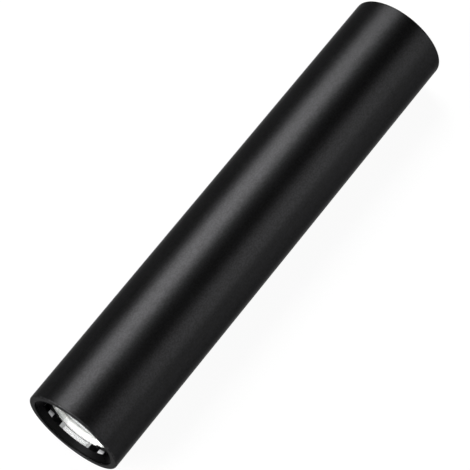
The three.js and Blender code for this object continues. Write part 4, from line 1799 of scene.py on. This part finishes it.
@dataclass
class Leads:
    """Two insulated leads, through the pill and bent in to their pads on the LED board.

    Attributes:
        lead: The diameter of a lead.
        bend: The radius of its bend.
        bend_steps: Points around that bend.
        run_steps: Points along its straight run.
        end: The straight stretch after the bend.
        joint_at: From the lead's tip to the middle of its solder joint.
        joint: Height and radius of the joint's outline, from the pad up.
    """

    lead: float = 1.1 * MM
    bend: float = 1.4 * MM
    bend_steps: int = 12
    run_steps: int = 10
    end: float = 0.5 * MM
    joint_at: float = 0.3 * MM
    joint: tuple[tuple[float, float], ...] = (
        (SEAT / 2, 0.8 * MM),
        (0.25 * MM, 0.62 * MM),
        (0.62 * MM, 0.28 * MM),
        (0.7 * MM, 0.0),
    )

    def build(self) -> None:
        """Makes both leads with their solder joints."""
        self.build_lead("lead_positive", "led_lead_positive", RED_LEAD, 1)
        self.build_lead("lead_negative", "led_lead_negative", BLACK_LEAD, -1)

    def build_lead(self, name: str, node: str, finish: Finish, side: int) -> None:
        """Bends one lead and solders its end.

        Args:
            name: The piece's name.
            node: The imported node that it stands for.
            finish: Its insulation.
            side: 1 for the lead above the axis, -1 for the one below.
        """
        pads = Span.of("led_board").front
        layer = pads + self.lead / 2 + SEAT
        start = Span.of("driver_board").front + SEAT
        centre = layer - self.bend
        corner = LEAD_AT - self.bend
        tip = corner - self.end
        steps = self.run_steps
        line = [(start + (centre - start) * i / steps, LEAD_AT) for i in range(steps)]
        for i in range(self.bend_steps + 1):
            angle = math.pi / 2 * i / self.bend_steps
            line.append((centre + self.bend * math.sin(angle), corner + self.bend * math.cos(angle)))
        line += [(layer, corner - self.end / 2), (layer, tip)]
        points = [Vector((x, 0.0, AXIS_Z + side * r)) for x, r in line]
        add_piece(name, wire(points, self.lead, 4), [finish], node)
        (foot, wide), *shoulders, (top, _) = self.joint
        lathe = Lathe(steps=32, height=AXIS_Z + side * (tip - self.joint_at), hold=0.02 * MM)
        joint = lathe.turn(
            Corner(pads + foot, 0.0),
            Corner(pads + foot, wide),
            *(Corner(pads + height, r, Edge.MILD) for height, r in shoulders),
            Corner(pads + top, 0.0),
        )
        add_piece(name + "_joint", joint, [SOLDER])


def board_disc(node: str) -> Mesh:
    """A round circuit board, in a node's place."""
    span = Span.of(node)
    return LATHE.disc(span.front, span.back, span.radius, Edge.EASED)


def spanner_ring(
    node: str,
    width: float,
    slots_in_front: bool,
    slot: float = 0.8 * MM,
    depth: float = 0.9 * MM,
) -> Mesh:
    """A retaining ring with two spanner slots in one face.

    Args:
        node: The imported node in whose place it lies.
        width: Its radial width.
        slots_in_front: Whether the slots are in its front face.
        slot: Half the width of a slot.
        depth: The depth of a slot.

    Returns:
        The ring.
    """
    span = Span.of(node)
    ring = LATHE.ring(span.front, span.back, span.radius - width, span.radius, Edge.EASED)
    reach = span.radius + OVERRUN
    slotted = span.front if slots_in_front else span.back
    low = Vector((slotted - depth, -slot, AXIS_Z - reach))
    high = Vector((slotted + depth, slot, AXIS_Z + reach))
    return carved(ring, block(low, high), Carve.REMOVE)


@dataclass
class Cell:
    """The battery: can in its film, insulator washer and positive button.

    Attributes:
        fold: How far the film folds over each end.
        film: The film's thickness.
        film_slope: The width of the film's cut edge.
        film_edge: The round on that edge.
        shoulder: The round on the can's two ends.
        crimp: The depth of the groove under the film near the positive end.
        crimp_at: From the can's front to that groove.
        crimp_half: Half the width of that groove.
        crimp_round: The round at its bottom.
        washer_inset: From the can's edge in to the washer.
        washer_gap: From the washer to the button.
        washer: The washer's thickness.
        button_round: The round on the button's front edge.
        button_foot: The round on its back edge.
        dimple: The radius of the dimple in the button, at its mouth.
        dimple_floor: The radius of that dimple's floor.
        dimple_depth: The depth of that dimple.
    """

    fold: float = 1.4 * MM
    film: float = 0.12 * MM
    film_slope: float = 0.05 * MM
    film_edge: float = 0.03 * MM
    shoulder: float = 0.6 * MM
    crimp: float = 0.22 * MM
    crimp_at: float = 2.6 * MM
    crimp_half: float = 0.9 * MM
    crimp_round: float = 0.4 * MM
    washer_inset: float = 1.2 * MM
    washer_gap: float = 0.15 * MM
    washer: float = 0.4 * MM
    button_round: float = 0.35 * MM
    button_foot: float = 0.05 * MM
    dimple: float = 1.7 * MM
    dimple_floor: float = 1.2 * MM
    dimple_depth: float = 0.12 * MM

    def build(self) -> None:
        """Makes the three pieces."""
        can = Span.of("battery_can")
        button = Span.of("battery_cap")
        self.build_can()
        back = can.front + SEAT
        inner = button.radius + self.washer_gap
        outer = can.radius - self.washer_inset
        washer = LATHE.ring(back + self.washer, back, inner, outer, Edge.FINE)
        add_piece("cell_washer", washer, [WHITE_PLASTIC], "battery_washer")
        floor = button.front - self.dimple_depth
        nub = SMALL_LATHE.turn(
            Corner(floor, 0.0),
            Corner(floor, self.dimple_floor, Edge.SMALL),
            Corner(button.front, self.dimple, Edge.SMALL),
            Corner(button.front, button.radius, self.button_round),
            Corner(button.back, button.radius, self.button_foot),
            Corner(button.back, 0.0),
        )
        add_piece("cell_button", nub, [STEEL], "battery_cap")

    def build_can(self) -> None:
        """Turns the can in its film, bare in the middle of both ends."""
        can = Span.of("battery_can")
        bare = can.radius - self.fold
        folded = bare + self.film_slope
        crimp = can.front - self.crimp_at
        bm = LATHE.turn(
            Corner(can.front - self.film, 0.0),
            Corner(can.front - self.film, bare),
            Corner(can.front, folded, self.film_edge),
            Corner(can.front, can.radius, self.shoulder),
            Corner(crimp + self.crimp_half, can.radius, Edge.ROUND),
            Corner(crimp, can.radius - self.crimp, self.crimp_round),
            Corner(crimp - self.crimp_half, can.radius, Edge.ROUND),
            Corner(can.back, can.radius, self.shoulder),
            Corner(can.back, folded, self.film_edge),
            Corner(can.back + self.film, bare),
            Corner(can.back + self.film, 0.0),
        )
        paint_faces(bm, 1, lambda f: all(from_axis(v) < (bare + folded) / 2 for v in f.verts))
        finishes = [CELL_FILM, STEEL]
        add_piece("cell_can", bm, finishes, "battery_can", crease=math.radians(40))


@dataclass
class TailCap:
    """The screw cap: threaded spigot, seal groove, recessed end, O-ring and contact spring.

    Attributes:
        rim_round: The round on the tail rim's outer edge.
        rim_chamfer: The chamfer on its inner edge.
        seam_edge: The round on the shoulder's edge.
        spigot: The length of the spigot.
        spigot_foot: The round where the spigot meets the shoulder.
        wall: The spigot's wall.
        groove: The depth of the seal's groove.
        setback: From the shoulder to the groove.
        seal_gap: The gap beside the O-ring in its groove.
        seal_squeeze: How much thinner than its groove the squeezed O-ring is.
        chamfer: The chamfer on the spigot's end.
        thread_end: The plain stretch at each end of the thread.
        button_fit: The radial gap around the button.
        stop: How far the end wall reaches over the button's flange.
        lip: The end wall outside the button's flange.
        rim: The width of the tail rim.
        recess: The depth of the button's recess.
        spring_wire: The contact spring's wire.
        spring_tip: The radius of the spring's small end.
        spring_base: The radius of its wide end.
        spring_turns: How many turns it has.
    """

    rim_round: float = 0.4 * MM
    rim_chamfer: float = 0.3 * MM
    seam_edge: float = 0.015 * MM
    spigot: float = 9.5 * MM
    spigot_foot: float = 0.05 * MM
    wall: float = 2.0 * MM
    groove: float = 1.0 * MM
    setback: float = 0.9 * MM
    seal_gap: float = 0.1 * MM
    seal_squeeze: float = 0.05 * MM
    chamfer: float = 0.4 * MM
    thread_end: float = 0.5 * MM
    button_fit: float = 0.2 * MM
    stop: float = 0.8 * MM
    lip: float = 1.6 * MM
    rim: float = 2.9 * MM
    recess: float = 2.2 * MM
    spring_wire: float = 0.9 * MM
    spring_tip: float = 3.5 * MM
    spring_base: float = 5.0 * MM
    spring_turns: float = 5.0

    def build(self) -> None:
        """Makes the cap, its O-ring and its spring."""
        self.build_cap()
        self.build_seal()
        self.build_spring()

    def build_cap(self) -> None:
        """Turns the cap and winds its thread onto the spigot."""
        cap = Span.of("tail_cap")
        seal = Span.of("tail_o_ring")
        spigot = seal.radius - self.seal_gap / 2
        core = spigot - THREAD.depth
        bore = spigot - self.wall
        shoulder = cap.front - self.spigot
        groove_back = shoulder + self.setback
        groove_front = seal.front + self.seal_gap
        counter = Span.of("tail_button").radius + self.button_fit
        hole = counter - self.stop - self.button_fit
        end_wall = Span.of("switch_boot").back - SEAT
        floor = cap.back + self.recess
        recess = cap.radius - self.rim
        bm = Lathe(steps=192).turn(
            Corner(cap.front, bore, Edge.CRISP),
            Corner(end_wall, bore),
            Corner(end_wall, counter),
            Corner(floor + self.lip, counter),
            Corner(floor + self.lip, hole),
            Corner(floor, hole, Edge.SMALL),
            Corner(floor, recess, Edge.SOFT),
            Corner(cap.back + self.rim_chamfer, recess, Edge.CRISP),
            Corner(cap.back, recess + self.rim_chamfer, Edge.CRISP),
            Corner(cap.back, cap.radius, self.rim_round),
            Corner(shoulder, cap.radius, self.seam_edge),
            Corner(shoulder, spigot, self.spigot_foot),
            Corner(groove_back, spigot, Edge.CRISP),
            Corner(groove_back, spigot - self.groove, Edge.SMALL),
            Corner(groove_front, spigot - self.groove, Edge.SMALL),
            Corner(groove_front, core),
            Corner(cap.front - self.chamfer, core),
            Corner(cap.front, core - self.chamfer, Edge.CRISP),
        )
        back = groove_front + self.thread_end + THREAD.root / 2
        front = cap.front - self.thread_end - THREAD.root / 2
        ridge = THREAD.ridge(core - THREAD.sink, spigot, back, front)
        add_piece("cap_shell", carved(bm, ridge, Carve.ADD), [BLACK_ANODISE], "tail_cap", Body.CAP)

    def build_seal(self) -> None:
        """The O-ring, squeezed slightly oval in its groove."""
        span = Span.of("tail_o_ring")
        rise = (self.groove - self.seal_squeeze) / 2
        bm = round_ring(span.radius - rise, span.middle, rise, (span.front - span.back) / 2)
        add_piece("cap_seal", bm, [RUBBER], "tail_o_ring", Body.SEAL)

    def build_spring(self) -> None:
        """The tapered contact spring between the cell and the switch."""
        gauge = self.spring_wire
        ends = self.spring_tip, self.spring_base
        line = helix(Span.of("tail_spring"), gauge, ends, self.spring_turns)
        add_piece("contact_spring", wire(line, gauge, 4), [STEEL], "tail_spring", Body.CAP)


def helix(span: Span, gauge: float, ends: tuple[float, float], turns: float) -> list[Vector]:
    """The centre line of a coil spring, whose ends lie flatter for a quarter turn.

    Args:
        span: Where the spring lies.
        gauge: The diameter of its wire.
        ends: The coil's radius at its front and at its back.
        turns: How many turns it has.

    Returns:
        Points along the line.
    """
    steps_per_turn = 36
    flat_turns = 0.25
    end_slope = 0.35
    front, back = span.front - gauge / 2, span.back + gauge / 2
    count = round(turns * steps_per_turn)
    flat = flat_turns / turns
    points = []
    for i in range(count + 1):
        t = i / count
        rise = min(max((t - flat) / (1 - 2 * flat), 0.0), 1.0)
        x = front + (back - front) * (end_slope * t + (1 - end_slope) * rise)
        radius = ends[0] + (ends[1] - ends[0]) * t
        angle = FULL_TURN * turns * t
        points.append(Vector((x, radius * math.sin(angle), AXIS_Z + radius * math.cos(angle))))
    return points


@dataclass
class Switch:
    """The click switch in the tail cap, and the button that presses it.

    Attributes:
        ring_width: The width of the retaining ring.
        collar: The wall of the spacer.
        floor: The thickness of the case's bottom.
        fit: The radial gap around the plunger.
        stem_round: The round on its outer end.
        dimple: The radius of the dimple in that end, at its mouth.
        dimple_floor: The radius of that dimple's floor.
        dimple_depth: The depth of that dimple.
        spring_wire: The return spring's wire.
        spring_turns: How many turns it has.
        nub: The radius of the boot's nub.
        nub_height: The height of that nub.
        nub_foot: The round at its foot, and how far it slopes out.
        fold: The depth of the boot's thin fold.
        fold_in: The slope from the boot's middle into that fold.
        fold_out: The slope from that fold to its rim, on the inner side.
        fold_rim: That slope on the outer side.
        free: The radius out to which the boot moves with the button.
        held: The radius from which the boot is clamped.
        flange: The height of the button's flange.
        flange_width: The width of the button's flange.
        flange_round: The round on the flange's inner edge.
        button_edge: The round on the button's top.
        dish_rim: From the button's side to its dish.
        dish: The depth of the dish in its top.
        dish_slope: The width of the slope around the dish.
        rings: Where two turned rings lie, as shares of the dish's radius.
        ring_half: Half the width of such a ring.
        ring_depth: Its depth.
    """

    ring_width: float = 1.5 * MM
    collar: float = 1.0 * MM
    floor: float = 1.0 * MM
    fit: float = 0.2 * MM
    stem_round: float = 0.3 * MM
    dimple: float = 0.9 * MM
    dimple_floor: float = 0.7 * MM
    dimple_depth: float = 0.15 * MM
    spring_wire: float = 0.45 * MM
    spring_turns: float = 3.5
    nub: float = 2.0 * MM
    nub_height: float = 1.0 * MM
    nub_foot: float = 0.15 * MM
    fold: float = 0.3 * MM
    fold_in: float = 0.6 * MM
    fold_out: float = 0.2 * MM
    fold_rim: float = 0.1 * MM
    free: float = 6.9 * MM
    held: float = 7.65 * MM
    flange: float = 0.9 * MM
    flange_width: float = 1.0 * MM
    flange_round: float = 0.4 * MM
    button_edge: float = 0.5 * MM
    dish_rim: float = 1.0 * MM
    dish: float = 0.3 * MM
    dish_slope: float = 0.25 * MM
    rings: tuple[float, ...] = (0.72, 0.45)
    ring_half: float = 0.18 * MM
    ring_depth: float = 0.12 * MM

    def build(self) -> None:
        """Makes the switch from its ring to the button."""
        self.build_mounting()
        self.build_case()
        self.build_spring()
        self.build_boot()
        self.build_button()

    def build_mounting(self) -> None:
        """The retaining ring, the switch's board and the spacer behind it."""
        ring = spanner_ring("switch_ring", self.ring_width, slots_in_front=True)
        add_piece("switch_retainer", ring, [BRASS], "switch_ring", Body.CAP)
        add_piece("switch_disc", board_disc("switch_board"), [GREEN_BOARD], "switch_board", Body.CAP)
        tube = Span.of("switch_spacer")
        inner = tube.radius - self.collar
        collar = LATHE.ring(tube.front, tube.back, inner, tube.radius, Edge.MILD)
        add_piece("switch_collar", collar, [BLACK_PLASTIC], "switch_spacer", Body.CAP)

    def build_case(self) -> None:
        """The switch's case with the plunger's bore, and the plunger."""
        low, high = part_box("switch_housing")
        stem = Span.of("switch_plunger")
        drill = SMALL_LATHE.disc(high.x - self.floor, low.x - OVERRUN, stem.radius + self.fit)
        case = carved(block(low, high, Edge.SOFT, 3), drill, Carve.REMOVE)
        add_piece("switch_case", case, [BLACK_PLASTIC], "switch_housing", Body.CAP)
        dimple = stem.back + self.dimple_depth
        plunger = SMALL_LATHE.turn(
            Corner(stem.front, 0.0),
            Corner(stem.front, stem.radius, Edge.SOFT),
            Corner(stem.back, stem.radius, self.stem_round),
            Corner(stem.back, self.dimple, Edge.SMALL),
            Corner(dimple, self.dimple_floor, Edge.SMALL),
            Corner(dimple, 0.0),
        )
        add_piece("switch_stem", plunger, [RED_PLASTIC], "switch_plunger", Body.BUTTON)

    def build_spring(self) -> None:
        """The return spring, which shortens as the plunger comes in."""
        span = Span.of("switch_spring")
        gauge = self.spring_wire
        radius = Span.of("switch_plunger").radius - self.fit - gauge / 2
        line = helix(span, gauge, (radius, radius), self.spring_turns)
        coil = add_piece("return_spring", wire(line, gauge, 3), [STEEL], "switch_spring", None)
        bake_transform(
            coil,
            Body.CAP.value,
            Body.BUTTON.value,
            start=(span.front, 0.0, AXIS_Z),
            end=(span.back, 0.0, AXIS_Z),
        )

    def build_boot(self) -> None:
        """The silicone boot: its rim is clamped, and its middle moves with the button."""
        boot = Span.of("switch_boot")
        front = boot.front - self.nub_height
        folded = front - self.fold
        bm = LATHE.turn(
            Corner(boot.front, 0.0),
            Corner(boot.front, self.nub, Edge.ROUND),
            Corner(front, self.nub + self.nub_foot, self.nub_foot),
            Corner(front, self.free - self.fold_in, Edge.SMALL),
            Corner(folded, self.free, Edge.SMALL),
            Corner(folded, self.held - self.fold_out, Edge.SMALL),
            Corner(front, self.held + self.fold_rim, Edge.SMALL),
            Corner(front, boot.radius, Edge.SMALL),
            Corner(boot.back, boot.radius, Edge.SMALL),
            Corner(boot.back, 0.0),
        )
        skin = add_piece("switch_membrane", bm, [RUBBER], "switch_boot", None)
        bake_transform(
            skin,
            Body.CAP.value,
            Body.BUTTON.value,
            start=(boot.back, 0.0, AXIS_Z),
            end=(boot.front, 0.0, AXIS_Z),
        )
        shares = skin.data.attributes["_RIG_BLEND"].data
        for vert, share in zip(skin.data.vertices, shares):
            t = min(max((self.held - from_axis(vert)) / (self.held - self.free), 0.0), 1.0)
            share.value = t * t * (3 - 2 * t)

    def build_button(self) -> None:
        """The push button: flange, round edge and a dish with two turned rings."""
        span = Span.of("tail_button")
        radius = span.radius - self.flange_width
        flange = span.front - self.flange
        dish = radius - self.dish_rim
        floor = span.back + self.dish
        rings: list[Corner] = []
        for share in self.rings:
            middle = dish * share
            rings += [
                Corner(floor, middle + self.ring_half),
                Corner(floor + self.ring_depth, middle),
                Corner(floor, middle - self.ring_half),
            ]
        bm = LATHE.turn(
            Corner(span.front, 0.0),
            Corner(span.front, span.radius, self.flange_round),
            Corner(flange, span.radius, Edge.FINE),
            Corner(flange, radius, Edge.EASED),
            Corner(span.back, radius, self.button_edge),
            Corner(span.back, dish + self.dish_slope, Edge.SMALL),
            Corner(floor, dish, Edge.SMALL),
            *rings,
            Corner(floor, 0.0),
        )
        add_piece("push_button", bm, [BUTTON_ANODISE], "tail_button", Body.BUTTON)


@dataclass(frozen=True)
class Softbox:
    """A soft rectangular studio light that faces the barrel's middle.

    Attributes:
        name: Its name.
        towards: The direction from the barrel to it.
        distance: How far away it stands.
        length: Its size along the barrel.
        width: Its size across.
        radiance: How bright its face is, where 1 is white.
    """

    name: str
    towards: Triple
    distance: float
    length: float
    width: float
    radiance: float

    def build(self) -> None:
        """Hangs the light."""
        data = bpy.data.lights.new(self.name, "AREA")
        data.shape = "RECTANGLE"
        data.size = self.length
        data.size_y = self.width
        data.energy = self.radiance * math.pi * self.length * self.width
        outward = Vector(self.towards).normalized()
        along = (Vector((1.0, 0.0, 0.0)) - outward * outward.x).normalized()
        upward = outward.cross(along)
        turn = Matrix((along, upward, outward)).transposed().to_4x4()
        place = Vector((0.0, 0.0, AXIS_Z)) + outward * self.distance
        holder = bpy.data.objects.new(self.name, data)
        holder.matrix_world = Matrix.Translation(place) @ turn
        bpy.context.scene.collection.objects.link(holder)


@dataclass
class Studio:
    """The pale floor, the soft lights and the camera.

    Attributes:
        floor_size: Half the floor's width.
        floor_drop: How far the floor lies under the barrel.
        fibre: The size of the fibres in the floor's paper.
        glow: The share of the floor's white that doesn't depend on the lamps.
        paper: The floor's colour under the lamps.
        ambient: The world's light on the object.
        dusk: How far forward a reflected ray points where the world is fully white, from sideways.
        aim: The point in the middle of the picture.
        distance: From the camera to that point.
        azimuth: The camera's place round the object, in degrees.
        elevation: Its height above the horizon, in degrees.
        focal: Its focal length, in millimetres.
        sensor: The width of its sensor, in millimetres.
        clip: The nearest and the farthest that it sees.
        lights: The soft lights.
    """

    floor_size: float = 4.0
    floor_drop: float = 0.05 * MM
    fibre: float = 2.0 * MM
    glow: float = 0.94
    paper: float = 0.82
    ambient: float = 0.12
    dusk: float = 0.25
    aim: Triple = (2.350 * MM, -0.356 * MM, 11.665 * MM)
    distance: float = 533.99 * MM
    azimuth: float = 126.376
    elevation: float = 63.581
    focal: float = 172.84
    sensor: float = 36.0
    clip: tuple[float, float] = (0.01, 20.0)
    lights: tuple[Softbox, ...] = (
        Softbox("key", (-0.32, -0.524, 0.789), distance=0.8, length=0.38, width=0.5, radiance=12.6),
        Softbox("fill", (-0.363, 0.836, 0.412), distance=0.8, length=0.38, width=0.55, radiance=3.2),
        Softbox("front", (0.74, -0.42, 0.525), distance=0.7, length=0.44, width=0.44, radiance=11.5),
    )

    def build(self) -> None:
        """Sets up the camera, the floor, the world and the lights."""
        self.build_camera()
        self.build_floor()
        self.build_world()
        for light in self.lights:
            light.build()
        bpy.context.scene.view_settings.view_transform = "Standard"

    def build_camera(self) -> None:
        """The camera at the photograph's angle."""
        data = bpy.data.cameras.new("camera")
        data.lens = self.focal
        data.sensor_width = self.sensor
        data.clip_start, data.clip_end = self.clip
        turn, lift = math.radians(self.azimuth), math.radians(self.elevation)
        level = math.cos(lift)
        back = Vector((math.sin(turn) * level, -math.cos(turn) * level, math.sin(lift)))
        place = Matrix.Translation(Vector(self.aim) + back * self.distance)
        camera = bpy.data.objects.new("camera", data)
        camera.matrix_world = place @ (-back).to_track_quat("-Z", "Y").to_matrix().to_4x4()
        bpy.context.scene.collection.objects.link(camera)
        bpy.context.scene.camera = camera

    @staticmethod
    def _seen(graph: Graph) -> Socket:
        """Tells the rays that show a surface from those that only carry light.

        Args:
            graph: The graph that asks.

        Returns:
            1 on rays from the camera, and on those that metal and glass send on.
        """
        path = graph.node("ShaderNodeLightPath", output="Is Camera Ray")
        outputs = path.source.node.outputs
        sent_on = Socket(graph, outputs["Is Glossy Ray"])
        return path + sent_on + Socket(graph, outputs["Is Transmission Ray"])

    def build_floor(self) -> None:
        """A pale sheet that keeps a faint shadow and doesn't hide the object from below."""
        bm = bmesh.new()
        bmesh.ops.create_grid(bm, x_segments=1, y_segments=1, size=self.floor_size)
        bmesh.ops.translate(bm, verts=bm.verts[:], vec=(0.0, 0.0, -self.floor_drop))
        mesh = bpy.data.meshes.new("floor")
        bm.to_mesh(mesh)
        bm.free()
        material = bpy.data.materials.new("floor paper")
        material.use_nodes = True
        graph = Graph(material.node_tree)
        fibre = graph.noise(self.fibre, detail=3.0)
        paper = graph.tint(fibre, (self.paper * 0.985,) * 3, (self.paper,) * 3)
        lit = graph.node("ShaderNodeBsdfDiffuse", None, {"Color": paper})
        shade = graph.node("ShaderNodeBsdfDiffuse", None, {"Color": (1.0 - self.glow,) * 3})
        white = {"Color": (1.0, 1.0, 1.0), "Strength": self.glow}
        glow = graph.node("ShaderNodeEmission", None, white)
        seen = graph.node("ShaderNodeAddShader", None, {0: glow, 1: shade})
        sheet = graph.node("ShaderNodeMixShader", None, {0: self._seen(graph), 1: lit, 2: seen})
        below = graph.node("ShaderNodeNewGeometry", output="Backfacing")
        clear = graph.node("ShaderNodeBsdfTransparent")
        graph.surface(graph.node("ShaderNodeMixShader", None, {0: below, 1: sheet, 2: clear}))
        mesh.materials.append(material)
        floor = bpy.data.objects.new("floor", mesh)
        bpy.context.scene.collection.objects.link(floor)

    def build_world(self) -> None:
        """A studio that is white ahead of the beam and dark over the tail."""
        world = bpy.data.worlds.new("studio")
        world.use_nodes = True
        bpy.context.scene.world = world
        graph = Graph(world.node_tree)
        x, _, _ = graph.split(graph.node("ShaderNodeTexCoord", output="Generated"))
        camera = graph.node("ShaderNodeLightPath", output="Is Camera Ray")
        ahead = graph.band(x, low=0.0, high=self.dusk)
        shown = camera + (1.0 - camera) * self._seen(graph) * ahead
        level = shown + (1.0 - self._seen(graph)) * self.ambient
        white = {"Color": (1.0, 1.0, 1.0), "Strength": level}
        backdrop = graph.node("ShaderNodeBackground", None, white)
        graph.node("ShaderNodeOutputWorld", None, {"Surface": backdrop})


def main() -> None:
    """Builds the studio and every sub-assembly in order."""
    logging.basicConfig(level=logging.INFO, format="%(name)s: %(message)s")
    light = (Studio(), Barrel(), Head(), Lamp())
    power = (Pill(), Driver(), Inductor(), Controller(), Leads(), Cell())
    tail = (TailCap(), Switch())
    for part in (*light, *power, *tail):
        part.build()
        log.info("%s done", type(part).__name__)


if __name__ == "__main__":
    main()
